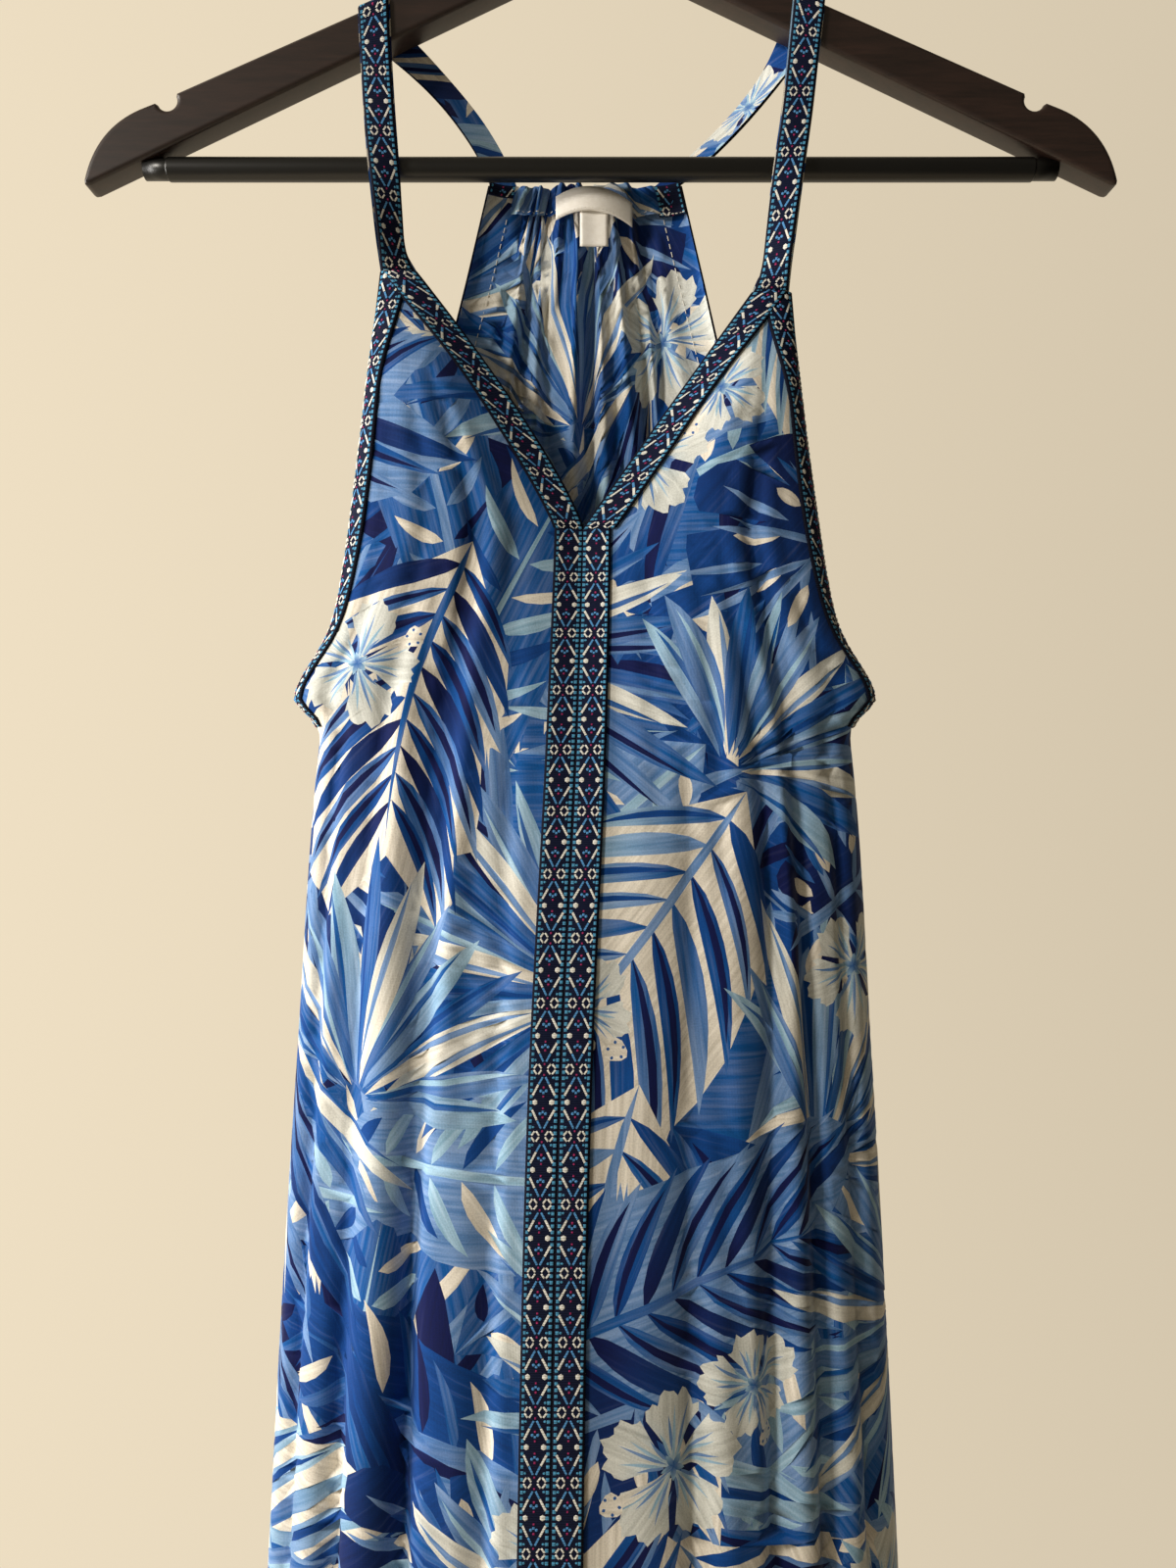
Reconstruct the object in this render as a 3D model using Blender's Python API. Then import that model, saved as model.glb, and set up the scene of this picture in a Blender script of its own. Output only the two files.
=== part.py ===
"""A V-neck maxi dress with woven trims, on a wooden hanger with a trouser bar.

The frame is the hanging one: +Z up, +X to the right of someone who looks at the dress's front,
and -Y out of the front. The origin is the top of the inside of the hook, where a rod carries it.
"""

import math

import bpy
import numpy as np

# Sizes in metres. The garment was measured against its 12.7 mm trim and the 445 mm hanger.
WALL = 0.0016  # cloth, as a rigid wall
TRIM_WIDTH = 0.0127
TRIM_THICK = 0.0010
FACING_THICK = 0.0008
GAP = 0.0003  # between touching pieces

# Hanger
HANGER_THICK = 0.0127
BAR_Z = -0.210
BAR_RADIUS = 0.0050
DOWEL_RADIUS = 0.0045
SLEEVE_END_X = 0.1878
SOCKET_END_X = 0.2130  # the dowel's ends sit in sockets drilled into the arms
ARM_TOP_Z = -0.0991  # where the two top edges would meet
ARM_TOP_SLOPE = 0.4445  # fall for each metre outwards
ARM_LOW_Z = -0.1144
ARM_LOW_SLOPE = 0.4780
CROWN_RADIUS = 0.060
ARCH_RADIUS = 0.030
EDGE_CHAMFER = 0.0010
NOTCH_X = 0.187
NOTCH_RADIUS = 0.0043
NOTCH_SINK = 0.0012
NOTCH_LIP = 0.0008
TIP_START_X = 0.1930
TIP_SHOULDER = (0.2170, -0.1925)  # the bend the rounded shoulder leans towards, x and z
TIP_END_X = 0.2222
HOOK_WIRE = 0.0020
HOOK_RADIUS = 0.0230

# Heights of the dress
PEAK_Z = {-1: -0.2520, 1: -0.2610}  # where the front meets each strap, left then right
V_Z = -0.3645
UNDERARM_Z = -0.4520
HEM_Z = -1.5340
BACK_TOP_Z = -0.2095
CASING_HEIGHT = 0.0125

# The body's outline at its main heights. Bulge is how far a front half stands forward between
# its trim and its side.
BODY_COLUMNS = ("z", "middle_x", "half_width", "centre_x", "centre_y", "seam_y", "back_y", "bulge")
BODY = (
    (-0.252, -0.0068, 0.0895, -0.0070, 0.0060, 0.0065, 0.0300, 0.0108),
    (-0.308, -0.0075, 0.0955, -0.0070, 0.0085, 0.0085, 0.0340, 0.0125),
    (-0.366, -0.0072, 0.1035, -0.0078, 0.0090, 0.0105, 0.0370, 0.0125),
    (-0.450, -0.0068, 0.1165, -0.0102, -0.0115, 0.0125, 0.0400, 0.0060),
    (-0.600, -0.0070, 0.1265, -0.0168, -0.0360, 0.0110, 0.0440, 0.0),
    (-0.805, -0.0076, 0.1365, -0.0205, -0.0560, 0.0090, 0.0490, 0.0),
    (-1.100, -0.0080, 0.1490, -0.0215, -0.0700, 0.0070, 0.0550, 0.0),
    (-1.534, -0.0080, 0.1680, -0.0220, -0.0840, 0.0050, 0.0620, 0.0),
)
SQUARENESS = 2.5  # exponent of the body's rounded outline, seen from above
NECK_HALF_TOP = {-1: 0.0740, 1: 0.0738}  # from the centre to the neck edge, at the peaks
NECK_BOW = {-1: 1.20, 1: 1.02}
UNDERARM_FLARE = 0.0125  # the stiff trim pushes the armholes out just above the underarms
BULGE_PLACE = 0.55  # share of the way to the side where a front half stands forward most
FLARE_Z = -0.4390
FLARE_ABOVE = 0.022
FLARE_BELOW = 0.0085
FLARE_REACH = 0.035  # how far in from the edge the cloth follows it
SQUARE_FADE = 0.060  # height over which an edge turns to meet its seam squarely

# The back panel's own outline above the underarms.
BACK_TOP_HALF = 0.0424
BACK_TOP_Y = 0.0135
BACK_TOP_BOW = 0.0050
BACK_EDGE_BOW = 0.25

# Front folds, as troughs. Place is a share of the cloth between the trim and the side.
FOLD_LEVELS = (-0.366, -0.446, -0.780, -1.534)
FOLD_COLUMNS = ("name", "place at the V", "underarm", "thigh", "hem", "depth at the V", "underarm", "thigh", "hem")
LEFT_FOLDS = (
    ("inner", 0.17, 0.14, 0.10, 0.14, 0.0005, 0.002, 0.006, 0.013),
    ("main", 0.42, 0.46, 0.38, 0.36, 0.0030, 0.007, 0.013, 0.018),
    ("outer", 0.68, 0.70, 0.62, 0.60, 0.0020, 0.004, 0.009, 0.015),
    ("side", 0.90, 0.91, 0.83, 0.81, 0.0010, 0.005, 0.008, 0.013),
)
RIGHT_FOLDS = (
    ("inner", 0.28, 0.30, 0.29, 0.26, 0.0005, 0.002, 0.008, 0.015),
    ("main", 0.54, 0.59, 0.52, 0.49, 0.0020, 0.005, 0.010, 0.016),
    ("outer", 0.72, 0.74, 0.67, 0.66, 0.0035, 0.007, 0.013, 0.017),
    ("side", 0.90, 0.90, 0.83, 0.82, 0.0010, 0.005, 0.008, 0.013),
)
FOLD_STEPS = 5  # cloth strips across each fold
DEEPEST_FOLD = 0.36  # share of the fold's width
FOLD_ROUNDNESS = 0.8

# Back folds spread from the gathers at the neck.
BACK_FOLDS = 8
BACK_FOLD_STEPS = 5
BACK_FOLD_SWAY = 0.035
BACK_FOLD_DEPTH = ((-1.534, 0.017), (-0.900, 0.014), (-0.446, 0.011), (-0.330, 0.0085), (-0.2095, 0.0042))

# Heights of the cloth's rows of points.
YOKE_ROWS = (-0.272, -0.294, -0.320, -0.343, V_Z, -0.395, -0.415, -0.428, -0.4385, -0.446)
SKIRT_ROWS = (UNDERARM_Z, -0.460, -0.478, -0.510, -0.560, -0.620, -0.690, -0.780, -0.890, -1.010, -1.140, -1.280, -1.410, HEM_Z)
BACK_ROWS = (BACK_TOP_Z, BACK_TOP_Z - CASING_HEIGHT, -0.245, -0.275, -0.310, -0.345, -0.380, -0.405, *YOKE_ROWS[-4:])

# Straps, left then right. Turn is how far the outer edge has swung to the front, in degrees.
STRAP_COLUMNS = ("z", "x", "y", "turn")
STRAPS = {
    -1: (
        (-0.2440, -0.0912, -0.0020, 62),
        (-0.2315, -0.0918, -0.0050, 50),
        (-0.2190, -0.0924, -0.0076, 32),
        (-0.2060, -0.0935, -0.0078, 14),
        (-0.1900, -0.0948, -0.0072, 4),
        (-0.1680, -0.0962, -0.00665, 0),
    ),
    1: (
        (-0.2520, 0.0765, -0.0022, 50),
        (-0.2400, 0.0776, -0.0052, 38),
        (-0.2260, 0.0789, -0.0074, 20),
        (-0.2080, 0.0812, -0.0076, 6),
        (-0.1900, 0.0840, -0.0072, 0),
        (-0.1640, 0.0868, -0.00665, 0),
    ),
}
STRAP_TOP_X = {-1: -0.0973, 1: 0.0893}
STRAP_BACK_LEAD = {-1: 0.60, 1: -0.45}  # how far each swings inwards ahead of its fall, behind
STRAP_BACK_TILT = {-1: 31, 1: 45}  # degrees that its upper edge leans back there
STRAP_END = {-1: 0.0050, 1: 0.0135}  # its turned end, down inside the back panel

SIDE_NAMES = {-1: "left", 1: "right"}  # as seen from the front

# Labels inside the back neck
LABEL_HALF_WIDTH = 0.0170
LABEL_HEIGHT = 0.0105
LABEL_BULGE = 0.0050
LABEL_RISE = 0.0035
TAB_WIDTH = 0.0125
TAB_HEIGHT = 0.0155
LABEL_THICK = 0.0010


def body_at(z, column):
    """A column of the body's outline at height z, smoothly between the rows."""
    index = BODY_COLUMNS.index(column)
    heights = [-row[0] for row in BODY]
    values = [row[index] for row in BODY]
    return smooth_between(-z, heights, values)


def smooth_between(at, places, values):
    """A smooth curve through values at increasing places, held level past the ends."""
    places = np.array(places, float)
    values = np.array(values, float)
    slopes = np.gradient(values, places)
    at = min(max(at, places[0]), places[-1])
    i = min(int(np.searchsorted(places, at, side="right")) - 1, len(places) - 2)
    span = places[i + 1] - places[i]
    t = (at - places[i]) / span
    start = (1 + 2 * t) * (1 - t) ** 2 * values[i] + t * (1 - t) ** 2 * span * slopes[i]
    end = t * t * (3 - 2 * t) * values[i + 1] + t * t * (t - 1) * span * slopes[i + 1]
    return start + end


def eased(t):
    t = min(max(t, 0.0), 1.0)
    return t * t * (3 - 2 * t)


def flare(points, z, side):
    """Pushes a row's cloth outwards near one of its sides."""
    spread = FLARE_ABOVE if z > FLARE_Z else FLARE_BELOW
    push = UNDERARM_FLARE * math.exp(-(((z - FLARE_Z) / spread) ** 2))
    end = points[:, 0].max() if side > 0 else points[:, 0].min()
    for point in points:
        point[0] += side * push * eased(1 - abs(end - point[0]) / FLARE_REACH)


def front_edges(side, z):
    """The inner and outer ends of one half of the front at height z."""
    inner_x = body_at(z, "centre_x") + side * GAP / 2
    if z > V_Z:
        rise = (z - V_Z) / (PEAK_Z[side] - V_Z)
        inner_x += side * NECK_HALF_TOP[side] * rise ** NECK_BOW[side]
    outer_x = body_at(z, "middle_x") + side * body_at(z, "half_width")
    seam_y = body_at(z, "seam_y") - GAP / 2
    return np.array((inner_x, body_at(z, "centre_y"))), np.array((outer_x, seam_y))


def front_outline(side, z):
    """Fine points along one half of the front at height z, before its folds."""
    inner, outer = front_edges(side, z)
    turn = np.linspace(0, math.pi / 2, 160)
    power = 2 / SQUARENESS
    across, back = np.sin(turn) ** power, np.cos(turn) ** power
    points = outer + (inner - outer) * np.stack((1 - across, back), axis=1)
    rounded = np.sin(math.pi / 2 * np.minimum(across / BULGE_PLACE, 1))
    past = np.maximum(across - BULGE_PLACE, 0) / (1 - BULGE_PLACE)
    squared = (1 - past**SQUARENESS) ** (1 / SQUARENESS)
    points[:, 1] -= body_at(z, "bulge") * rounded * squared
    return points


def places_along(points):
    steps = np.linalg.norm(np.diff(points, axis=0), axis=1)
    return np.concatenate(((0.0,), np.cumsum(steps)))


def at_places(points, along, places):
    return np.stack([np.interp(places, along, points[:, k]) for k in (0, 1)], axis=1)


def outward_normals(points, towards):
    """Unit normals of a row of points, on the side of the direction towards."""
    tangents = np.gradient(points, axis=0)
    normals = np.stack((tangents[:, 1], -tangents[:, 0]), axis=1)
    normals /= np.linalg.norm(normals, axis=1)[:, None]
    middle = normals[len(normals) // 2]
    return normals if middle @ towards > 0 else -normals


def fold_row(folds, z):
    """Places and depths of the front's troughs at height z, with the two ends."""
    heights = [-level for level in FOLD_LEVELS]
    places = [smooth_between(-z, heights, fold[1:5]) for fold in folds]
    depths = [smooth_between(-z, heights, fold[5:9]) for fold in folds]
    fade = eased((-0.262 - z) / 0.100) if z > V_Z else 1.0
    return np.array([0, *places, 1]), np.array([0, *[d * fade for d in depths], 0])


def strip_width(side, z):
    """The neck trim's width measured level, which is more where its edge slants."""
    if z <= V_Z:
        return TRIM_WIDTH
    low, high = max(z - 0.002, V_Z), min(z + 0.002, PEAK_Z[side])
    (x0, y0), (x1, y1) = (front_edges(side, height)[0] for height in (low, high))
    edge = np.array((x1 - x0, y1 - y0, high - low))
    row = np.diff(front_outline(side, z)[[0, 12]], axis=0)[0]
    lean = abs(edge[:2] @ row) / (np.linalg.norm(edge) * np.linalg.norm(row))
    return TRIM_WIDTH / math.sqrt(1 - min(lean, 0.6) ** 2)


def front_row(side, z):
    """Outer points and normals across one half of the front at height z."""
    base = front_outline(side, z)
    along = places_along(base)
    inner_strip = strip_width(side, z)
    middle = along[-1] - inner_strip - TRIM_WIDTH
    shares, depths = fold_row(LEFT_FOLDS if side < 0 else RIGHT_FOLDS, z)
    places, sinks = [0.0], [0.0]
    for i in range(len(shares) - 1):
        chord = (shares[i + 1] - shares[i]) * middle
        steps = np.arange(FOLD_STEPS) / FOLD_STEPS
        deepest = DEEPEST_FOLD * chord
        start, end = min(depths[i], deepest), min(depths[i + 1], deepest)
        arch = np.sin(math.pi * steps) ** FOLD_ROUNDNESS
        places += list(inner_strip + (shares[i] + (shares[i + 1] - shares[i]) * steps) * middle)
        sinks += list((start + (end - start) * steps) * (1 - arch))
    places += [along[-1] - TRIM_WIDTH, along[-1]]
    sinks += [0.0, 0.0]
    points = at_places(base, along, np.array(places))
    flare(points, z, side)
    normals = outward_normals(points, np.array((side * 0.2, -1.0)))
    sunk = points - normals * np.array(sinks)[:, None]
    normals = outward_normals(sunk, np.array((side * 0.2, -1.0)))
    square_end(normals, 0, (0, -1), V_Z, z)
    square_end(normals, -1, (side, 0), UNDERARM_Z, z)
    return lifted(sunk, z), lifted(normals, 0)


def square_end(normals, end, facing, below, z):
    """Turns the end of a row so that its edge meets the next panel's squarely."""
    share = 1 - eased((z - below) / SQUARE_FADE)
    turned = normals[end] * (1 - share) + np.array(facing) * share
    normals[end] = turned / np.linalg.norm(turned)


def lifted(points, z):
    """The row's points in space."""
    return np.column_stack((points, np.full(len(points), z)))


def back_edge(side, z):
    """The end of the back panel on one side, at height z."""
    if z <= UNDERARM_Z:
        _, outer = front_edges(side, z)
        return outer + np.array((0, GAP))
    _, seam = front_edges(side, UNDERARM_Z)
    fall = (BACK_TOP_Z - z) / (BACK_TOP_Z - UNDERARM_Z)
    middle = body_at(z, "middle_x")
    top = np.array((middle + side * BACK_TOP_HALF, BACK_TOP_Y))
    swing = fall + BACK_EDGE_BOW * (fall**4 - fall)
    return top + (seam + np.array((0, GAP)) - top) * np.array((swing, fall))


def back_row(z):
    """Outer points and normals across the back at height z, from left to right."""
    left, right = back_edge(-1, z), back_edge(1, z)
    fall = eased((BACK_TOP_Z - z) / (BACK_TOP_Z - UNDERARM_Z))
    depth = BACK_TOP_BOW + (body_at(z, "back_y") - body_at(z, "seam_y") - BACK_TOP_BOW) * fall
    turn = np.linspace(0, math.pi, 320)
    power = 2 / SQUARENESS
    across = 0.5 - 0.5 * np.sign(np.cos(turn)) * np.abs(np.cos(turn)) ** power
    base = left + (right - left) * across[:, None]
    base[:, 1] += depth * np.abs(np.sin(turn)) ** power
    along = places_along(base)
    middle = along[-1] - 2 * TRIM_WIDTH
    shares = np.linspace(0, 1, BACK_FOLDS * BACK_FOLD_STEPS + 1)
    wave = BACK_FOLDS * (shares + BACK_FOLD_SWAY * np.sin(3 * math.pi * shares) * (1 - shares))
    heights = [-z_ for z_, _ in reversed(BACK_FOLD_DEPTH)]
    depths = [d for _, d in reversed(BACK_FOLD_DEPTH)]
    deepest = min(smooth_between(-z, heights, depths), 0.40 * middle / BACK_FOLDS)
    fade = np.minimum(1, 5 * np.minimum(shares, 1 - shares))
    sinks = deepest * fade * (0.5 - 0.5 * np.cos(2 * math.pi * wave))
    places = np.concatenate(((0.0,), TRIM_WIDTH + shares * middle, (along[-1],)))
    sinks = np.concatenate(((0.0,), sinks, (0.0,)))
    points = at_places(base, along, places)
    for side in (-1, 1):
        flare(points, z, side)
    normals = outward_normals(points, np.array((0.0, 1.0)))
    sunk = points - normals * sinks[:, None]
    normals = outward_normals(sunk, np.array((0.0, 1.0)))
    square_end(normals, 0, (-1, 0), UNDERARM_Z, z)
    square_end(normals, -1, (1, 0), UNDERARM_Z, z)
    return lifted(sunk, z), lifted(normals, 0)


def material(name, colour, roughness, metallic=0.0):
    made = bpy.data.materials.new(name)
    made.use_nodes = True
    shader = made.node_tree.nodes["Principled BSDF"]
    shader.inputs["Base Color"].default_value = (*colour, 1)
    shader.inputs["Roughness"].default_value = roughness
    shader.inputs["Metallic"].default_value = metallic
    return made


def add_mesh(name, points, faces, look):
    mesh = bpy.data.meshes.new(name)
    mesh.from_pydata([tuple(p) for p in points], [], faces)
    mesh.update()
    mesh.materials.append(look)
    made = bpy.data.objects.new(name, mesh)
    bpy.context.scene.collection.objects.link(made)
    return made


def enclosed_volume(points, faces):
    corners = np.asarray(points)[np.asarray(faces)]
    return np.einsum("ij,ij->i", corners[:, 0], np.cross(corners[:, 1], corners[:, 2])).sum() / 6


def add_wall(name, outer, inner, look):
    """A closed wall between two grids of points, its quads all split the same way."""
    outer, inner = np.asarray(outer, float), np.asarray(inner, float)
    rows, columns = outer.shape[:2]
    points = np.concatenate((outer.reshape(-1, 3), inner.reshape(-1, 3)))
    inside = rows * columns
    faces = []

    def add_quad(a, b, c, d):
        faces.extend(((a, b, c), (a, c, d)))

    for r in range(rows - 1):
        for c in range(columns - 1):
            a, b = r * columns + c, r * columns + c + 1
            d, e = a + columns, b + columns
            add_quad(a, b, e, d)
            faces.append((a + inside, e + inside, b + inside))
            faces.append((a + inside, d + inside, e + inside))
    for c in range(columns - 1):
        low = (rows - 1) * columns + c
        add_quad(c + 1, c, c + inside, c + 1 + inside)
        add_quad(low, low + 1, low + 1 + inside, low + inside)
    for r in range(rows - 1):
        first, last = r * columns, r * columns + columns - 1
        add_quad(first, first + columns, first + columns + inside, first + inside)
        add_quad(last + columns, last, last + inside, last + columns + inside)
    if enclosed_volume(points, faces) < 0:
        faces = [face[::-1] for face in faces]
    return add_mesh(name, points, faces, look)


def stacked(rows):
    """Rows of (points, normals) as two grids."""
    return np.array([row[0] for row in rows]), np.array([row[1] for row in rows])


def row_between(rows, z):
    """Points and normals at height z on the flat faces between two rows."""
    heights = [row[0][0, 2] for row in rows]
    i = max(k for k in range(len(heights) - 1) if heights[k] >= z - 1e-9)
    share = (heights[i] - z) / (heights[i] - heights[i + 1])
    points = rows[i][0] * (1 - share) + rows[i + 1][0] * share
    normals = rows[i][1] * (1 - share) + rows[i + 1][1] * share
    return points, normals / np.linalg.norm(normals, axis=1)[:, None]


def cut_rows(rows, top, bottom):
    """The rows from one height down to another, with new ones at both ends."""
    kept = [row for row in rows if bottom + 1e-6 < row[0][0, 2] < top - 1e-6]
    return [row_between(rows, top), *kept, row_between(rows, bottom)]


def add_trim(name, rows, columns, look):
    """A band on the outside of a panel, made from that panel's own points."""
    points, normals = stacked(rows)
    points, normals = points[:, columns], normals[:, columns]
    lift = points + normals * GAP
    return add_wall(name, lift + normals * TRIM_THICK, lift, look)


def add_front(side, cloth, trim):
    word = SIDE_NAMES[side]
    heights = (PEAK_Z[side], *YOKE_ROWS, *SKIRT_ROWS)
    rows = [front_row(side, z) for z in heights]
    points, normals = stacked(rows)
    add_wall(f"front_{word}", points, points - normals * WALL, cloth)
    inner, outer = slice(0, 2), slice(-2, None)
    peak = PEAK_Z[side]
    add_trim(f"trim_neck_{word}", cut_rows(rows, peak, V_Z + GAP / 2), inner, trim)
    add_trim(f"trim_front_{word}", cut_rows(rows, V_Z - GAP / 2, HEM_Z), inner, trim)
    add_trim(f"trim_armhole_front_{word}", cut_rows(rows, peak, UNDERARM_Z), outer, trim)
    return rows[0]


def add_back(cloth, trim, label):
    rows = [back_row(z) for z in (*BACK_ROWS, *SKIRT_ROWS)]
    points, normals = stacked(rows)
    add_wall("back", points, points - normals * WALL, cloth)
    for side, ends in ((-1, slice(0, 2)), (1, slice(-2, None))):
        name = f"trim_armhole_back_{SIDE_NAMES[side]}"
        add_trim(name, cut_rows(rows, BACK_TOP_Z, UNDERARM_Z), ends, trim)
    add_casing(rows, cloth)
    for side in (-1, 1):
        add_strap_end(side, rows, trim)
    add_labels(rows, label)
    return rows[0]


def add_casing(rows, cloth):
    """The turned-down band that gathers the back neck, on the panel's inside."""
    points, normals = stacked(cut_rows(rows, BACK_TOP_Z, BACK_TOP_Z - CASING_HEIGHT))
    points, normals = points[:, 2:-2], normals[:, 2:-2]
    laid = points - normals * (WALL + 2 * GAP)
    add_wall("back_casing", laid, laid - normals * FACING_THICK, cloth)


def add_strap_end(side, rows, look):
    """The strap's end, turned over the back panel's corner and sewn down inside."""
    points, normals = stacked(cut_rows(rows, BACK_TOP_Z, BACK_TOP_Z - STRAP_END[side]))
    corner = slice(0, 2) if side < 0 else slice(-2, None)
    points, normals = points[:, corner], normals[:, corner]
    laid = points - normals * (WALL + GAP)
    add_wall(f"strap_end_{SIDE_NAMES[side]}", laid, laid - normals * TRIM_THICK, look)


def add_labels(rows, look):
    """A bare woven label that bows out from the casing, and the size tab below it."""
    top = BACK_TOP_Z - 0.0045
    points, normals = row_between(rows, top)
    casing = points - normals * (WALL + 2 * GAP + FACING_THICK)
    front_y = casing[3:-3, 1].min() - LABEL_THICK - GAP
    middle = body_at(top, "middle_x")
    shares = np.linspace(-1, 1, 13)
    x = middle + 0.004 + LABEL_HALF_WIDTH * shares
    y = front_y - LABEL_BULGE * (1 - shares**2)
    rise = LABEL_RISE * (1 - shares**2)
    upper = np.column_stack((x, y, top + rise - LABEL_RISE))
    lower = upper - np.array((0, 0, LABEL_HEIGHT))
    behind = np.array((0, LABEL_THICK, 0))
    add_wall("label", (upper, lower), (upper + behind, lower + behind), look)
    edge = lower[6]
    tab_x = np.array((-TAB_WIDTH / 2, TAB_WIDTH / 2)) + edge[0]
    tab_y = edge[1] + LABEL_BULGE * (TAB_WIDTH / 2 / LABEL_HALF_WIDTH) ** 2 + LABEL_THICK + GAP
    tab_top = edge[2] + 0.0030
    high = np.array([(x_, tab_y, tab_top) for x_ in tab_x])
    low = high - np.array((0, 0, TAB_HEIGHT + 0.0030))
    add_wall("label_tab", (high, low), (high + behind, low + behind), look)


def arm_top(x):
    return ARM_TOP_Z - ARM_TOP_SLOPE * abs(x)


def arm_low(x):
    return ARM_LOW_Z - ARM_LOW_SLOPE * abs(x)


def unit(vector):
    return vector / np.linalg.norm(vector)


def strap_path(side, front_end, back_end):
    """Centres and width vectors of a strap's underside, from its front end to its back end.

    front_end and back_end are each two points: the ends of the strap's edge there, outer first.
    """
    x = STRAP_TOP_X[side]
    face = HANGER_THICK / 2 + GAP
    top = arm_top(x)
    centres, widths = [front_end.mean(axis=0)], [front_end[1] - front_end[0]]
    for z, row_x, y, turn in STRAPS[side]:
        centres.append(np.array((row_x, y, z)))
        turn = math.radians(turn)
        widths.append(TRIM_WIDTH * np.array((-side * math.cos(turn), math.sin(turn), 0)))
    on_arm = TRIM_WIDTH * np.array((-side, 0, ARM_TOP_SLOPE))
    bend = 0.0012
    for y, fall in (
        (-face, 2.5 * bend),
        (-face, bend),
        (bend - face, -GAP),
        (0.0, -GAP),
        (face - bend, -GAP),
        (face, bend),
        (face, 2.5 * bend),
    ):
        centres.append(np.array((x, y, top - fall)))
        widths.append(on_arm)
    leave, end = centres[-1], back_end.mean(axis=0)
    tilt = math.radians(STRAP_BACK_TILT[side])
    down = unit(end - leave)
    flat = unit(np.array((side * down[2], 0, abs(down[0]))))
    leaning = TRIM_WIDTH * (flat * math.cos(tilt) + np.array((0, math.sin(tilt), 0)))
    for share in (0.12, 0.28, 0.45, 0.62, 0.78, 0.90):
        swing = share + STRAP_BACK_LEAD[side] * share * (1 - share)
        centres.append(leave + (end - leave) * np.array((swing, share, share)))
        width = on_arm + (leaning - on_arm) * eased(share / 0.40)
        widths.append(width + (back_end[1] - back_end[0] - width) * eased((share - 0.60) / 0.40))
    centres.append(end)
    widths.append(back_end[1] - back_end[0])
    return np.array(centres), np.array(widths)


def add_strap(side, front_top, back_top, cloth, trim):
    """The trim that goes on up over the hanger, and the cloth facing under it."""
    lift = FACING_THICK + GAP
    step = np.array((0, 0, GAP))
    front, front_facing = front_top[0][1::-1], front_top[1][:2].mean(axis=0)
    corners = slice(0, 2) if side < 0 else slice(-1, -3, -1)
    back, back_facing = back_top[0][corners], back_top[1][corners].mean(axis=0)
    front_end = front - unit(front_facing) * FACING_THICK + step
    back_end = back - unit(back_facing) * FACING_THICK + step
    centres, widths = strap_path(side, front_end, back_end)
    out = np.cross(np.gradient(centres, axis=0), widths) * side
    out[0], out[-1] = front_facing, back_facing
    out /= np.linalg.norm(out, axis=1)[:, None]
    edges = np.stack((centres - widths / 2, centres + widths / 2), axis=1)
    out = out[:, None, :]
    word = SIDE_NAMES[side]
    add_wall(f"strap_facing_{word}", edges + out * FACING_THICK, edges, cloth)
    raised = edges + out * lift
    add_wall(f"strap_trim_{word}", raised + out * TRIM_THICK, raised, trim)


def arc(centre, radius, start, end, steps):
    turns = np.radians(np.linspace(start, end, steps + 1))
    return [(centre[0] + radius * math.cos(t), centre[1] + radius * math.sin(t)) for t in turns]


def hanger_outline():
    """The right half of the hanger's wood in the X-Z plane, from the crown to the arch."""
    top_turn = math.degrees(math.atan(ARM_TOP_SLOPE))
    low_turn = math.degrees(math.atan(ARM_LOW_SLOPE))
    top_tilt, low_tilt = math.hypot(1, ARM_TOP_SLOPE), math.hypot(1, ARM_LOW_SLOPE)
    down = np.array((1, -ARM_TOP_SLOPE)) / top_tilt
    inwards = np.array((-ARM_TOP_SLOPE, -1)) / top_tilt
    points = arc((0, ARM_TOP_Z - CROWN_RADIUS * top_tilt), CROWN_RADIUS, 90, 90 - top_turn, 5)
    lip = np.array((NOTCH_X, arm_top(NOTCH_X)))
    reach = NOTCH_RADIUS + NOTCH_LIP
    points.append(tuple(lip - down * reach))
    for turn in np.radians(np.linspace(0, 180, 9)):
        swing = inwards * (NOTCH_SINK + NOTCH_RADIUS * math.sin(turn)) - down * NOTCH_RADIUS * math.cos(turn)
        points.append(tuple(lip + swing))
    points.append(tuple(lip + down * reach))
    start = np.array((TIP_START_X, arm_top(TIP_START_X)))
    shoulder = np.array(TIP_SHOULDER)
    end = np.array((TIP_END_X, arm_low(TIP_END_X) + 0.0022))
    for t in np.linspace(0, 1, 9)[1:]:
        points.append(tuple((1 - t) ** 2 * start + 2 * t * (1 - t) * shoulder + t * t * end))
    for inset, lift in ((0.0006, 0.0006), (0.0022, 0.0)):
        points.append((TIP_END_X - inset, arm_low(TIP_END_X - inset) + lift))
    points += arc((0, ARM_LOW_Z - ARCH_RADIUS * low_tilt), ARCH_RADIUS, 90 - low_turn, 90, 4)
    return points


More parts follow.
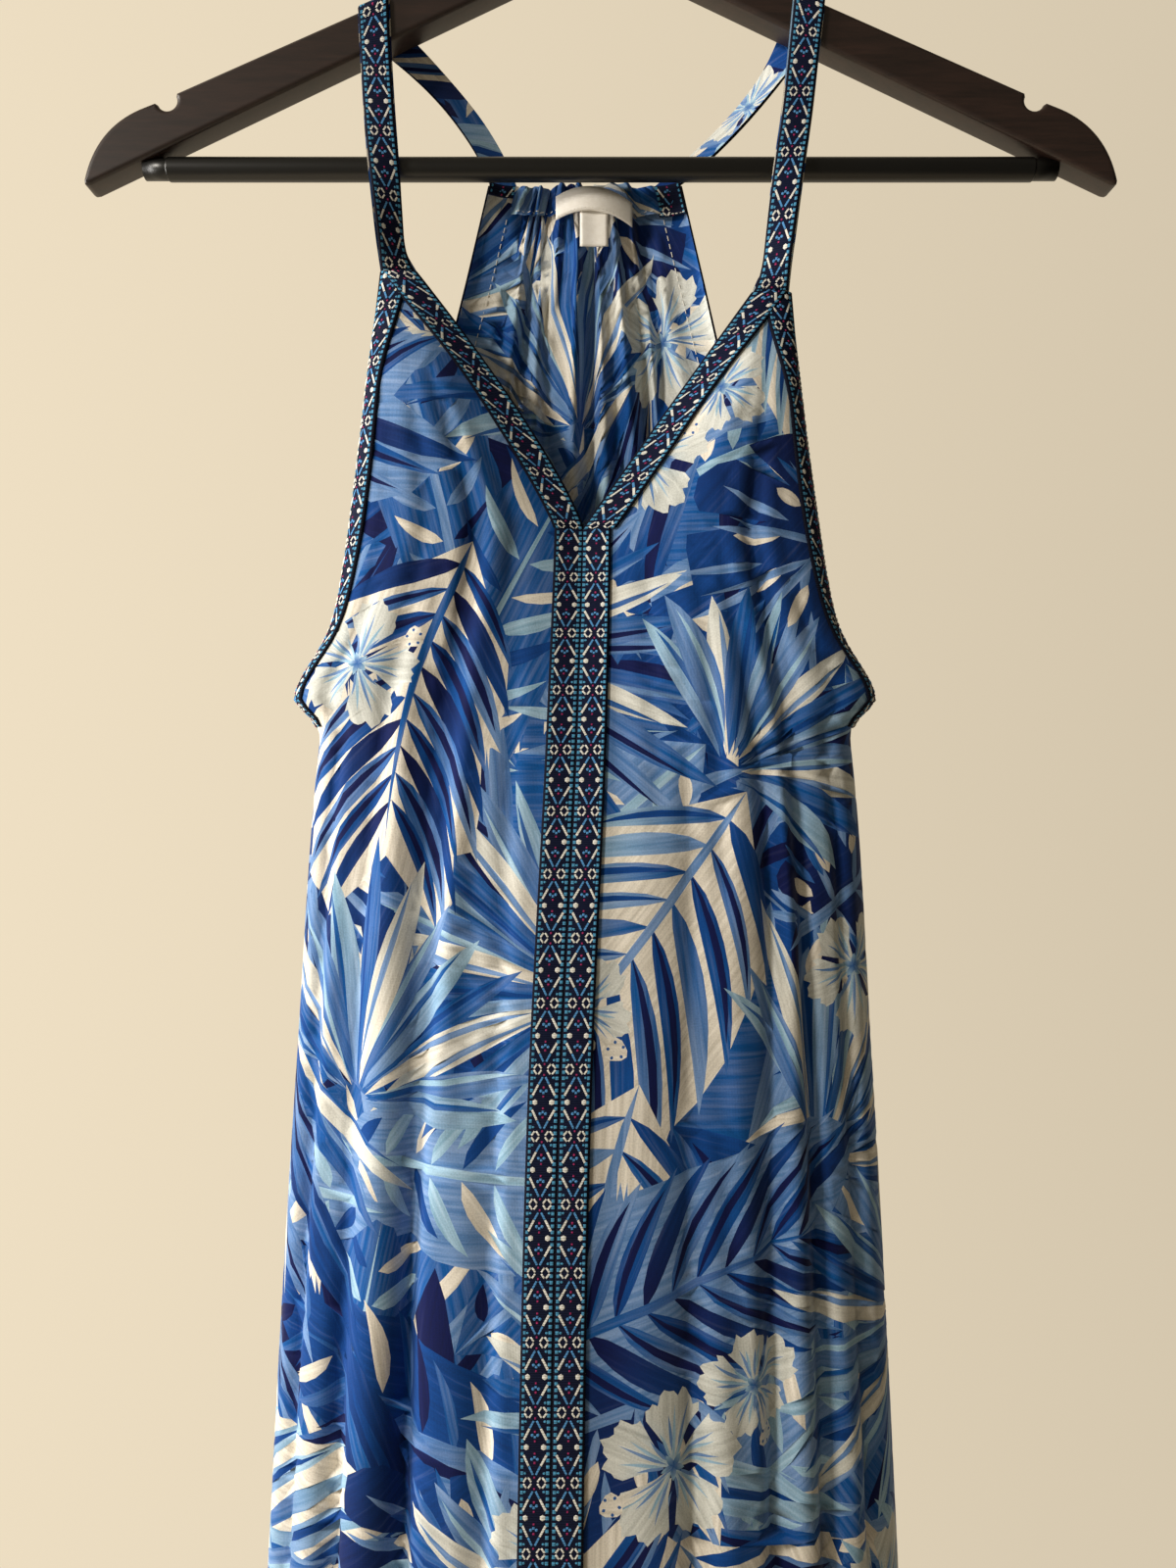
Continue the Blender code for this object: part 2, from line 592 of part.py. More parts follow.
def add_hanger_body(look):
    half = hanger_outline()
    outline = np.array(half + [(-x, z) for x, z in reversed(half[1:-1])])
    before, after = np.roll(outline, 1, axis=0), np.roll(outline, -1, axis=0)
    tangents = after - before
    inwards = np.stack((tangents[:, 1], -tangents[:, 0]), axis=1)
    inwards /= np.linalg.norm(inwards, axis=1)[:, None]
    narrow = outline + inwards * EDGE_CHAMFER
    deep = HANGER_THICK / 2
    rings = ((narrow, -deep), (outline, EDGE_CHAMFER - deep), (outline, deep - EDGE_CHAMFER), (narrow, deep))
    points = [(x, y, z) for ring, y in rings for x, z in ring]
    count = len(outline)
    faces = [tuple(reversed(range(count))), tuple(range(3 * count, 4 * count))]
    for level in range(3):
        for i in range(count):
            a, b = level * count + i, level * count + (i + 1) % count
            faces.append((a, b, b + count, a + count))
    body = add_mesh("hanger_body", points, faces, look)
    for side in (-1, 1):
        drill_socket(body, side)


def drill_socket(body, side):
    """A socket for one end of the bar, drilled level into the arm's lower face."""
    start, end = SLEEVE_END_X, SOCKET_END_X
    bpy.ops.mesh.primitive_cylinder_add(
        vertices=16,
        radius=DOWEL_RADIUS + GAP,
        depth=end - start,
        location=(side * (start + end) / 2, 0, BAR_Z),
        rotation=(0, math.pi / 2, 0),
    )
    drill = bpy.context.object
    drill.name = f"socket_drill_{SIDE_NAMES[side]}"
    drill.hide_render = True
    drill.display_type = "WIRE"
    cut = body.modifiers.new(drill.name, "BOOLEAN")
    cut.operation = "DIFFERENCE"
    cut.solver = "EXACT"
    cut.object = drill


def add_bar(look):
    """The trouser bar: a sleeve on a thinner dowel, whose ends sit in the sockets."""
    sides = 16
    turns = np.arange(sides) * 2 * math.pi / sides
    half = ((SOCKET_END_X - GAP, DOWEL_RADIUS), (SLEEVE_END_X, DOWEL_RADIUS), (SLEEVE_END_X, BAR_RADIUS))
    stations = [(-x, radius) for x, radius in half] + list(reversed(half))
    points = []
    for x, radius in stations:
        points += [(x, radius * math.sin(t), BAR_Z + radius * math.cos(t)) for t in turns]
    faces = [tuple(range(sides)), tuple(reversed(range(5 * sides, 6 * sides)))]
    for level in range(5):
        for i in range(sides):
            a, b = level * sides + i, level * sides + (i + 1) % sides
            faces.append((a, a + sides, b + sides, b))
    add_mesh("trouser_bar", points, faces, look)


def add_hook(look):
    """Bent wire: a straight neck, then a round loop whose inside top is the origin."""
    centre_z = HOOK_WIRE - HOOK_RADIUS
    crown = ARM_TOP_Z - CROWN_RADIUS * (math.hypot(1, ARM_TOP_SLOPE) - 1)
    path = [(0.0, crown + GAP), (0.0, crown + 0.012), (0.0, crown + 0.024), (0.0, crown + 0.034)]
    path += [(0.0016, crown + 0.041), (0.0058, crown + 0.0475)]
    path += arc((0, centre_z), HOOK_RADIUS, -52, 205, 22)
    curve = bpy.data.curves.new("hanger_hook", "CURVE")
    curve.dimensions = "3D"
    curve.bevel_depth = HOOK_WIRE
    curve.bevel_resolution = 2
    curve.use_fill_caps = True
    spline = curve.splines.new("POLY")
    spline.points.add(len(path) - 1)
    for point, (x, z) in zip(spline.points, path):
        point.co = (x, 0, z, 1)
    curve.materials.append(look)
    made = bpy.data.objects.new("hanger_hook", curve)
    bpy.context.scene.collection.objects.link(made)


def main():
    for old in list(bpy.data.objects):
        bpy.data.objects.remove(old)
    cloth = material("printed_cloth", (0.10, 0.24, 0.55), 0.85)
    trim = material("woven_trim", (0.03, 0.05, 0.12), 0.80)
    label = material("white_label", (0.85, 0.84, 0.80), 0.75)
    wood = material("dark_wood", (0.045, 0.028, 0.020), 0.38)
    bar = material("bar_sleeve", (0.012, 0.012, 0.012), 0.35)
    steel = material("hook_steel", (0.75, 0.75, 0.76), 0.22, 1.0)
    peaks = {side: add_front(side, cloth, trim) for side in (-1, 1)}
    back_top = add_back(cloth, trim, label)
    for side in (-1, 1):
        add_strap(side, peaks[side], back_top, cloth, trim)
    add_hanger_body(wood)
    add_bar(bar)
    add_hook(steel)


main()
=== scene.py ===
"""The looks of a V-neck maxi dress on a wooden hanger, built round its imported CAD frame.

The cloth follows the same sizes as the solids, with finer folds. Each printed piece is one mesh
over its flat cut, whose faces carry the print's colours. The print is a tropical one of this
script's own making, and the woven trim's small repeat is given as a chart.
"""

import math
from functools import partial

import bpy
import numpy as np
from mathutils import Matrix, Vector
from mathutils.geometry import delaunay_2d_cdt


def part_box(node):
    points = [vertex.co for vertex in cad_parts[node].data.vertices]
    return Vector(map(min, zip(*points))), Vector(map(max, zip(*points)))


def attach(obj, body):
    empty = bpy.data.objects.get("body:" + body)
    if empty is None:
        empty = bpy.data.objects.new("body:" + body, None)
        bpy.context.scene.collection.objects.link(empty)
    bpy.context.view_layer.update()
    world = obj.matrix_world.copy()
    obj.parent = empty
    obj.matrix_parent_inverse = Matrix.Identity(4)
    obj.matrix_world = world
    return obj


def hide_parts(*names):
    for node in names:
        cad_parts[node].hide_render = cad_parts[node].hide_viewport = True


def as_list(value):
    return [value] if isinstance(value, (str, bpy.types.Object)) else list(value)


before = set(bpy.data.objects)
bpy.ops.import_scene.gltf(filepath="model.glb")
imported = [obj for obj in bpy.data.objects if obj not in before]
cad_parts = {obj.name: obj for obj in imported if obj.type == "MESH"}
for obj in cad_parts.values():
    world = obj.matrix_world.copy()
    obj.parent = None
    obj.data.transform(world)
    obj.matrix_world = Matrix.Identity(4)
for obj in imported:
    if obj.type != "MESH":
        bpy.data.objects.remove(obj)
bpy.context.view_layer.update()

# The camera: its place in metres, and the photograph's height and focal length in pixels.
CAMERA_PLACE = (-0.0055, -0.492, -0.477)
FRAME_HEIGHT_PX = 1600
FOCAL_PX = 1155
SENSOR = 36.0

# Sizes that the solids have too, in metres.
TRIM_WIDTH = 0.0127
TRIM_THICK = 0.0010
FACING_THICK = 0.0008
WALL = 0.0016
GAP = 0.0003
HANGER_THICK = 0.0127
BAR_Z = -0.210
BAR_RADIUS = 0.0050
DOWEL_RADIUS = 0.0045
SLEEVE_END_X = 0.1878
ARM_TOP_Z = -0.0991
ARM_TOP_SLOPE = 0.4445
ARM_LOW_Z = -0.1144
ARM_LOW_SLOPE = 0.4780
CROWN_RADIUS = 0.060
ARCH_RADIUS = 0.030
NOTCH_X = 0.187
NOTCH_RADIUS = 0.0043
NOTCH_SINK = 0.0012
NOTCH_LIP = 0.0008
TIP_START_X = 0.1930
TIP_SHOULDER = (0.2170, -0.1925)
TIP_END_X = 0.2222
HOOK_WIRE = 0.0020
HOOK_RADIUS = 0.0230
HOOK_NECK = (  # x, and the height over the hanger's crown
    (0, -0.004),
    (0, 0.012),
    (0, 0.024),
    (0, 0.034),
    (0.0016, 0.041),
    (0.0058, 0.0475),
)
PEAK_Z = {-1: -0.2520, 1: -0.2610}
V_Z = -0.3645
UNDERARM_Z = -0.4520
HEM_Z = -1.5340
BACK_TOP_Z = -0.2095
CASING_HEIGHT = 0.0125

BODY_COLUMNS = ("z", "middle_x", "half_width", "centre_x", "centre_y", "seam_y", "back_y", "bulge")
BODY = (
    (-0.252, -0.0068, 0.0895, -0.0070, 0.0060, 0.0065, 0.0300, 0.0108),
    (-0.308, -0.0075, 0.0955, -0.0070, 0.0085, 0.0085, 0.0340, 0.0125),
    (-0.366, -0.0072, 0.1035, -0.0078, 0.0090, 0.0105, 0.0370, 0.0125),
    (-0.450, -0.0068, 0.1165, -0.0102, -0.0115, 0.0125, 0.0400, 0.0060),
    (-0.600, -0.0070, 0.1265, -0.0168, -0.0360, 0.0110, 0.0440, 0.0),
    (-0.805, -0.0076, 0.1365, -0.0205, -0.0560, 0.0090, 0.0490, 0.0),
    (-1.100, -0.0080, 0.1490, -0.0215, -0.0700, 0.0070, 0.0550, 0.0),
    (-1.534, -0.0080, 0.1680, -0.0220, -0.0840, 0.0050, 0.0620, 0.0),
)
SQUARENESS = 2.5
NECK_HALF_TOP = {-1: 0.0740, 1: 0.0738}
NECK_BOW = {-1: 1.20, 1: 1.02}
UNDERARM_FLARE = 0.0125
BULGE_PLACE = 0.55
FLARE_Z = -0.4390
FLARE_ABOVE = 0.022
FLARE_BELOW = 0.0085
FLARE_REACH = 0.035
BACK_TOP_HALF = 0.0424
BACK_TOP_Y = 0.0135
BACK_TOP_BOW = 0.0050
BACK_EDGE_BOW = 0.25

# The fronts' large folds. Columns: name, place at each level as a share of the cloth from the
# neck or centre to the side, and depth at each level.
FOLD_LEVELS = (-0.366, -0.446, -0.780, -1.534)
LEFT_FOLDS = (
    ("inner", 0.17, 0.14, 0.10, 0.14, 0.0005, 0.002, 0.006, 0.013),
    ("main", 0.42, 0.46, 0.38, 0.36, 0.0055, 0.008, 0.013, 0.018),
    ("outer", 0.68, 0.70, 0.62, 0.60, 0.0020, 0.004, 0.009, 0.015),
    ("side", 0.90, 0.91, 0.83, 0.81, 0.0010, 0.005, 0.008, 0.013),
)
RIGHT_FOLDS = (
    ("inner", 0.28, 0.30, 0.29, 0.26, 0.0005, 0.002, 0.008, 0.015),
    ("main", 0.54, 0.59, 0.52, 0.49, 0.0020, 0.005, 0.010, 0.016),
    ("outer", 0.72, 0.74, 0.67, 0.66, 0.0055, 0.008, 0.013, 0.017),
    ("side", 0.90, 0.90, 0.83, 0.82, 0.0010, 0.005, 0.008, 0.013),
)
DEEPEST_FOLD = 0.36  # as a share of the cloth between its ridges
FOLD_ROUNDNESS = 0.64
NECK_FOLDS_START_Z = -0.262  # above the V, the folds fade out upwards to here
NECK_FOLDS_FADE = 0.100
EDGE_FADE = 0.003  # folds end this far from the trims
PEAK_CALM = 0.10  # below the peaks the small unevenness grows over this length
BACK_FOLDS = 8
BACK_DEEPEST_FOLD = 0.40
BACK_FOLD_SWAY = 0.035
BACK_FOLD_DEPTH = (  # by how far down
    (0.2095, 0.0042),
    (0.330, 0.0085),
    (0.446, 0.011),
    (0.900, 0.014),
    (1.534, 0.017),
)
GATHER_DEPTH = 0.0026
GATHER_FALL = 0.13  # how far below the back's top the gathers end
GATHER_FADE = 0.11
GATHERS_PER_FOLD = 2.7
PEAK_FLATNESS = 0.85  # how far the peaks, under the straps, lose the cloth's bulge
PEAK_FADE = 0.055

# Each strap's front from its peak up to the hanger. Columns: z, x, y, turn in degrees.
STRAPS = {
    -1: (
        (-0.2440, -0.0912, -0.0020, 62),
        (-0.2315, -0.0918, -0.0050, 50),
        (-0.2190, -0.0924, -0.0076, 32),
        (-0.2060, -0.0935, -0.0078, 14),
        (-0.1900, -0.0948, -0.0072, 4),
        (-0.1680, -0.0962, -0.00665, 0),
    ),
    1: (
        (-0.2520, 0.0765, -0.0022, 50),
        (-0.2400, 0.0776, -0.0052, 38),
        (-0.2260, 0.0789, -0.0074, 20),
        (-0.2080, 0.0812, -0.0076, 6),
        (-0.1900, 0.0840, -0.0072, 0),
        (-0.1640, 0.0868, -0.00665, 0),
    ),
}
STRAP_TOP_X = {-1: -0.0973, 1: 0.0893}
STRAP_BACK_LEAD = {-1: 0.60, 1: -0.45}
STRAP_BACK_TILT = {-1: 31, 1: 45}
STRAP_END = {-1: 0.0050, 1: 0.0135}
STRAP_TURN = 0.62  # the share of each strap's turn that its cloth takes up
STRAP_BEND = 0.0012  # how tightly a strap turns over the hanger's edges
STRAP_BACK_SHARES = (0.12, 0.28, 0.45, 0.62, 0.78, 0.90)  # stations from the hanger down
FACING_SPREAD = 1.07  # the facing shows a little at both sides of its trim
TRIM_OVERHANG = 0.0006  # how far a trim reaches past its cloth's edge
SEAM_INSET = 0.0116  # from the armhole's edge to its stitches
HEM_TURNING = 0.016
HEM_LAYER = 0.0009  # how far inside the cloth its turned layer lies
CASING_PLEATS = 17
CASING_PLEAT_DEPTH = 0.0005
HANGER_EDGE_ROUND = 0.0018
BAR_SIDES = 48
SLEEVE_ROUND = (0.0008, 0.0005)  # along the bar and towards its axis
SIDE_NAMES = {-1: "left", 1: "right"}
ROW_ENDS = {-1: 0, 1: -1}  # which end of a back row lies on each side
LABEL_HALF_WIDTH = 0.0170
LABEL_HEIGHT = 0.0105
LABEL_BULGE = 0.0050
LABEL_RISE = 0.0035
LABEL_THICK = 0.0010
LABEL_LEAN = 0.09  # fall for each metre to the right
LABEL_BELLY = 0.0005
TAB_CURL = 0.0012
TAB_WAVE = 0.0002

# Stitches: how long each is, the gap to the next and the thread's width.
SEAM_STITCH = (0.0023, 0.0014, 0.00038)
CASING_STITCH = (0.0018, 0.0016, 0.00038)
STRAP_END_STITCH = (0.0012, 0.0005, 0.00038)
LABEL_STITCH = (0.0009, 0.0007, 0.00030)

# How finely the cloth is made
ROW_STEP = 0.004
ROW_POINTS = 420
OUTLINE_POINTS = 320
BACK_OUTLINE_POINTS = 480
MESH_ACROSS = 0.0028
MESH_DOWN = 0.0075
DOWN_SCALE = MESH_ACROSS / MESH_DOWN
EDGE_STEP = 0.004
GRID_MARGIN = 0.0012  # between a cut's edge and the grid inside it
SHAPES_MARGIN = 0.004  # how far outside a cut the print's corners are kept
CREASE_BLUR = 0.0016  # how round a trough's bottom is

# Small creases laid one by one on the left and right fronts and, as 0, between the back's pleats.
# Columns: upper and lower place, as shares of the cloth, upper z, lower z, depth, half width.
CREASES = {
    -1: (
        (0.40, 0.40, -0.290, -0.860, 0.0045, 0.0034),
        (0.38, 0.36, -0.620, -1.900, 0.0085, 0.0040),
        (0.62, 0.60, -0.560, -1.900, 0.0072, 0.0038),
        (0.86, 0.80, -0.520, -1.800, 0.0050, 0.0036),
        (0.10, 0.24, -0.300, -0.420, 0.0020, 0.0040),
        (0.30, 0.22, -0.400, -0.640, 0.0024, 0.0050),
        (0.58, 0.50, -0.340, -0.560, 0.0026, 0.0045),
        (0.80, 0.72, -0.420, -0.700, 0.0029, 0.0050),
        (0.24, 0.27, -0.700, -1.120, 0.0026, 0.0060),
        (0.52, 0.47, -0.860, -1.300, 0.0034, 0.0065),
        (0.74, 0.70, -0.980, -1.480, 0.0030, 0.0060),
    ),
    1: (
        (0.72, 0.71, -0.300, -0.800, 0.0045, 0.0034),
        (0.54, 0.49, -0.600, -1.900, 0.0083, 0.0040),
        (0.68, 0.66, -0.580, -1.900, 0.0070, 0.0038),
        (0.30, 0.27, -0.660, -1.900, 0.0057, 0.0040),
        (0.14, 0.20, -0.330, -0.500, 0.0019, 0.0045),
        (0.44, 0.42, -0.330, -0.560, 0.0029, 0.0045),
        (0.40, 0.45, -0.560, -0.840, 0.0024, 0.0050),
        (0.62, 0.60, -0.380, -0.620, 0.0026, 0.0040),
        (0.83, 0.76, -0.430, -0.760, 0.0029, 0.0050),
        (0.14, 0.12, -0.760, -1.200, 0.0026, 0.0060),
        (0.58, 0.56, -0.900, -1.400, 0.0034, 0.0060),
    ),
    0: (
        (-0.02, 0.20, -0.170, -0.360, -0.0063, 0.0030),
        (0.11, 0.29, -0.170, -0.370, -0.0072, 0.0030),
        (0.23, 0.41, -0.170, -0.390, -0.0075, 0.0030),
        (0.535, 0.505, -0.170, -0.400, -0.0063, 0.0034),
        (0.91, 0.66, -0.170, -0.380, -0.0070, 0.0028),
        (0.975, 0.74, -0.170, -0.370, -0.0065, 0.0028),
    ),
}


def srgb(red, green, blue):
    """A colour of 0 to 255 a channel, as Blender's linear light."""
    values = np.array((red, green, blue)) / 255
    return tuple(np.where(values <= 0.04045, values / 12.92, ((values + 0.055) / 1.055) ** 2.4))


# The print: the size of its repeat, the seed of its layout, where each panel was cut from it, and
# its colours.
TILE = np.array((0.47, 0.61))
SEED = 11
PRINT_SHIFTS = {-1: (0.10, 0.05), 0: (0.0, 0.37), 1: (0.31, 0.22)}
CREAM = srgb(230, 223, 210)
PEARL = srgb(214, 216, 210)
AQUA = srgb(160, 192, 214)
PERIWINKLE = srgb(118, 149, 195)
DENIM = srgb(62, 101, 163)
ROYAL = srgb(12, 66, 137)
NAVY = srgb(6, 18, 74)
BLUES = (  # a leaf's own colour, its lit one and its dark one
    (DENIM, PERIWINKLE, NAVY),
    (ROYAL, DENIM, NAVY),
    (PERIWINKLE, AQUA, ROYAL),
    (NAVY, ROYAL, DENIM),
    (DENIM, AQUA, ROYAL),
    (ROYAL, PERIWINKLE, NAVY),
)
LIGHT_FAN = (
    (PERIWINKLE, AQUA, DENIM),
    (DENIM, PERIWINKLE, AQUA),
    (CREAM, PEARL, PERIWINKLE),
    (DENIM, DENIM, ROYAL),
)
DARK_FAN = (
    (DENIM, PERIWINKLE, NAVY),
    (ROYAL, DENIM, PERIWINKLE),
    (CREAM, PEARL, DENIM),
    (PERIWINKLE, DENIM, NAVY),
)
VEIN_REACHES = (0.42, 0.60, 0.50, 0.72, 0.56, 0.66, 0.40)  # a petal's veins, as shares of it

# The woven trim's colours
TRIM_GROUND = srgb(12, 20, 48)
TRIM_SELVAGE = srgb(8, 11, 28)
TRIM_TEAL = srgb(82, 154, 194)
TRIM_BLUE = srgb(88, 150, 206)
TRIM_WHITE = srgb(236, 234, 226)
TRIM_MAGENTA = srgb(172, 50, 104)

# The trim's chart for one side of its repeat: straight floats as a colour, across and along
# at their start and at their end, and their width, in shares of the trim's width and the repeat.
# Dots have a colour, a place across and along, a width and a height; those at the edge are evenly
# spaced, so that they have no place along.
TRIM_REPEAT = 0.0262
FLOATS = (
    ("white", 0.335, 0.012, 0.240, 0.076, 0.056),
    ("white", 0.335, -0.012, 0.240, -0.076, 0.056),
    ("white", 0.095, 0.012, 0.190, 0.076, 0.056),
    ("white", 0.095, -0.012, 0.190, -0.076, 0.056),
    ("blue", 0.045, 0.120, 0.165, 0.225, 0.062),
    ("white", 0.175, 0.232, 0.345, 0.395, 0.066),
    ("white", 0.345, 0.605, 0.185, 0.760, 0.066),
    ("blue", 0.170, 0.770, 0.045, 0.885, 0.062),
)
DOTS = (
    ("white", 0.262, 0.495, 0.145, 0.078),
    ("blue", 0.086, 0.325, 0.088, 0.042),
    ("blue", 0.086, 0.665, 0.088, 0.042),
    ("teal", 0.290, 0.130, 0.070, 0.034),
    ("teal", 0.290, 0.865, 0.070, 0.034),
)
MIDDLE_DOTS = (
    ("magenta", 0.0, 0.085, 0.066, 0.034),
    ("magenta", 0.0, 0.275, 0.075, 0.038),
    ("blue", 0.0, 0.352, 0.092, 0.044),
    ("magenta", 0.0, 0.410, 0.066, 0.034),
    ("magenta", 0.0, 0.585, 0.066, 0.034),
    ("blue", 0.0, 0.640, 0.092, 0.044),
    ("magenta", 0.0, 0.718, 0.075, 0.038),
    ("magenta", 0.0, 0.925, 0.066, 0.034),
)
EDGE_DOTS = 11
EDGE_DOT = ("teal", 0.382, 0.104, 0.062)

# The colours that the chart names, and how high a float stands over the ground and at its middle.
THREADS = {"teal": TRIM_TEAL, "blue": TRIM_BLUE, "white": TRIM_WHITE, "magenta": TRIM_MAGENTA}
FLOAT_LIFT = 0.00016
FLOAT_CROWN = 0.00014

# The room's light: its colour, its strength behind the dress and before it, and how much more of
# it comes from the left.
ROOM_COLOUR = srgb(232, 217, 190)
ROOM_BRIGHT = 0.94
ROOM_DIM = 0.25
ROOM_LEAN = 0.27

# Columns: name, place, target, size, watts, colour.
LAMPS = (
    ("ceiling", (-1.55, -1.15, 0.30), (0, 0, -0.4), (0.4, 0.4), 26, (1.0, 0.94, 0.85)),
    ("window", (-1.7, -0.25, -0.2), (0, 0, -0.6), (0.6, 1.0), 34, (1.0, 0.97, 0.93)),
)
FLOOR_BELOW_HEM = 0.08
FLOOR_RADIUS = 1.0


def smooth_between(at, places, values):
    """A smooth curve through values at increasing places, held level past the ends."""
    places = np.array(places, float)
    values = np.array(values, float)
    slopes = np.gradient(values, places)
    at = min(max(at, places[0]), places[-1])
    i = min(int(np.searchsorted(places, at, side="right")) - 1, len(places) - 2)
    span = places[i + 1] - places[i]
    t = (at - places[i]) / span
    start = (1 + 2 * t) * (1 - t) ** 2 * values[i] + t * (1 - t) ** 2 * span * slopes[i]
    end = t * t * (3 - 2 * t) * values[i + 1] + t * t * (t - 1) * span * slopes[i + 1]
    return start + end


def eased(t):
    t = np.clip(t, 0.0, 1.0)
    return t * t * (3 - 2 * t)


def unit(vectors):
    return vectors / np.linalg.norm(vectors, axis=-1, keepdims=True)


def body_at(z, column):
    index = BODY_COLUMNS.index(column)
    return smooth_between(-z, [-row[0] for row in BODY], [row[index] for row in BODY])


def places_along(points):
    steps = np.linalg.norm(np.diff(points, axis=0), axis=1)
    return np.concatenate(((0.0,), np.cumsum(steps)))


def at_places(points, along, places):
    return np.stack([np.interp(places, along, column) for column in points.T], axis=1)


def towards(angle):
    return np.array((math.cos(angle), math.sin(angle)))


def beside(angle):
    return np.array((-math.sin(angle), math.cos(angle)))


def around(turns):
    return np.stack((np.cos(turns), np.sin(turns)), axis=1)


def blended(grid, row, column):
    """A grid's values at fractions of its rows and columns."""
    r = np.minimum(row.astype(int), len(grid) - 2)
    c = np.minimum(column.astype(int), grid.shape[1] - 2)
    u, v = (column - c)[:, None], (row - r)[:, None]
    upper = grid[r, c] * (1 - u) + grid[r, c + 1] * u
    lower = grid[r + 1, c] * (1 - u) + grid[r + 1, c + 1] * u
    return upper * (1 - v) + lower * v


def arm_top(x):
    return ARM_TOP_Z - ARM_TOP_SLOPE * abs(x)


def arm_low(x):
    return ARM_LOW_Z - ARM_LOW_SLOPE * x


def flare(points, z, side):
    """Pushes a row's cloth outwards near one of its sides."""
    spread = FLARE_ABOVE if z > FLARE_Z else FLARE_BELOW
    push = UNDERARM_FLARE * math.exp(-(((z - FLARE_Z) / spread) ** 2))
    end = points[:, 0].max() if side > 0 else points[:, 0].min()
    points[:, 0] += side * push * eased(1 - np.abs(end - points[:, 0]) / FLARE_REACH)


def front_edges(side, z):
    inner_x = body_at(z, "centre_x") + side * GAP / 2
    if z > V_Z:
        rise = (z - V_Z) / (PEAK_Z[side] - V_Z)
        inner_x += side * NECK_HALF_TOP[side] * rise ** NECK_BOW[side]
    outer_x = body_at(z, "middle_x") + side * body_at(z, "half_width")
    seam_y = body_at(z, "seam_y") - GAP / 2
    return np.array((inner_x, body_at(z, "centre_y"))), np.array((outer_x, seam_y))


def front_outline(side, z):
    """Fine points along one half of the front at height z, before its folds."""
    inner, outer = front_edges(side, z)
    turn = np.linspace(0, math.pi / 2, OUTLINE_POINTS)
    power = 2 / SQUARENESS
    across, back = np.sin(turn) ** power, np.cos(turn) ** power
    points = outer + (inner - outer) * np.stack((1 - across, back), axis=1)
    reach = np.minimum(across / BULGE_PLACE, 1)
    rounded = 0.35 * np.sin(math.pi / 2 * reach) + 0.65 * eased(reach)
    past = np.maximum(across - BULGE_PLACE, 0) / (1 - BULGE_PLACE)
    squared = (1 - past**SQUARENESS) ** (1 / SQUARENESS)
    flat = PEAK_FLATNESS * eased((z - PEAK_Z[side]) / PEAK_FADE + 1)
    points[:, 1] -= body_at(z, "bulge") * (1 - flat) * rounded * squared
    return points


def strip_width(side, z):
    """The neck trim's width measured level, which is more where its edge slants."""
    if z <= V_Z:
        return TRIM_WIDTH
    low, high = max(z - 0.002, V_Z), min(z + 0.002, PEAK_Z[side])
    (x0, y0), (x1, y1) = (front_edges(side, height)[0] for height in (low, high))
    edge = np.array((x1 - x0, y1 - y0, high - low))
    row = np.diff(front_outline(side, z)[[0, 24]], axis=0)[0]
    lean = abs(edge[:2] @ row) / (np.linalg.norm(edge) * np.linalg.norm(row))
    return TRIM_WIDTH / math.sqrt(1 - min(lean, 0.6) ** 2)


def outward_normals(points, towards):
    tangents = np.gradient(points, axis=0)
    normals = unit(np.stack((tangents[:, 1], -tangents[:, 0]), axis=1))
    return normals if normals[len(normals) // 2] @ towards > 0 else -normals


def fold_shares(side, z):
    """Where the front's troughs lie at height z and how deep they are, with the two ends."""
    folds = LEFT_FOLDS if side < 0 else RIGHT_FOLDS
    heights = [-level for level in FOLD_LEVELS]
    places = [smooth_between(-z, heights, fold[1:5]) for fold in folds]
    depths = [smooth_between(-z, heights, fold[5:9]) for fold in folds]
    fade = eased((NECK_FOLDS_START_Z - z) / NECK_FOLDS_FADE) if z > V_Z else 1.0
    return np.array([0, *places, 1]), np.array([0, *[d * fade for d in depths], 0])


def troughs(share, shares, depths, width):
    """How far the cloth sinks at each share of the width, between ridges and troughs."""
    i = np.clip(np.searchsorted(shares, share, side="right") - 1, 0, len(shares) - 2)
    t = np.clip((share - shares[i]) / (shares[i + 1] - shares[i]), 0, 1)
    deepest = DEEPEST_FOLD * (shares[i + 1] - shares[i]) * width
    start, end = np.minimum(depths[i], deepest), np.minimum(depths[i + 1], deepest)
    arch = np.sin(math.pi * t) ** FOLD_ROUNDNESS
    return (start + (end - start) * t) * (1 - arch)


def creased(share, side, z, width):
    """The small creases at height z."""
    sink = np.zeros_like(share)
    for upper, lower, high, low, depth, half in CREASES[side]:
        if low < z < high:
            t = (high - z) / (high - low)
            off = (share - upper - (lower - upper) * t) * width / half
            sink += depth * math.sin(math.pi * t) * np.exp(-(off**2))
    return sink


def ripples(share, z, phase):
    """Slight unevenness, as a worn and folded cloth keeps."""
    wave = np.sin(9 * share + 21 * z + phase) * np.sin(13 * z - 5 * share + 2 * phase)
    small = np.sin(31 * share - 37 * z + 3 * phase) * np.sin(43 * z + 11 * share + phase)
    return 0.0006 * wave + 0.0003 * small


def blurred(values, spread):
    reach = max(int(3 * spread), 1)
    bell = np.exp(-((np.arange(-reach, reach + 1) / max(spread, 0.1)) ** 2) / 2)
    padded = np.pad(values, reach, mode="edge")
    return np.convolve(padded, bell / bell.sum(), mode="valid")


def lifted(points, z):
    return np.column_stack((points, np.full(len(points), z)))


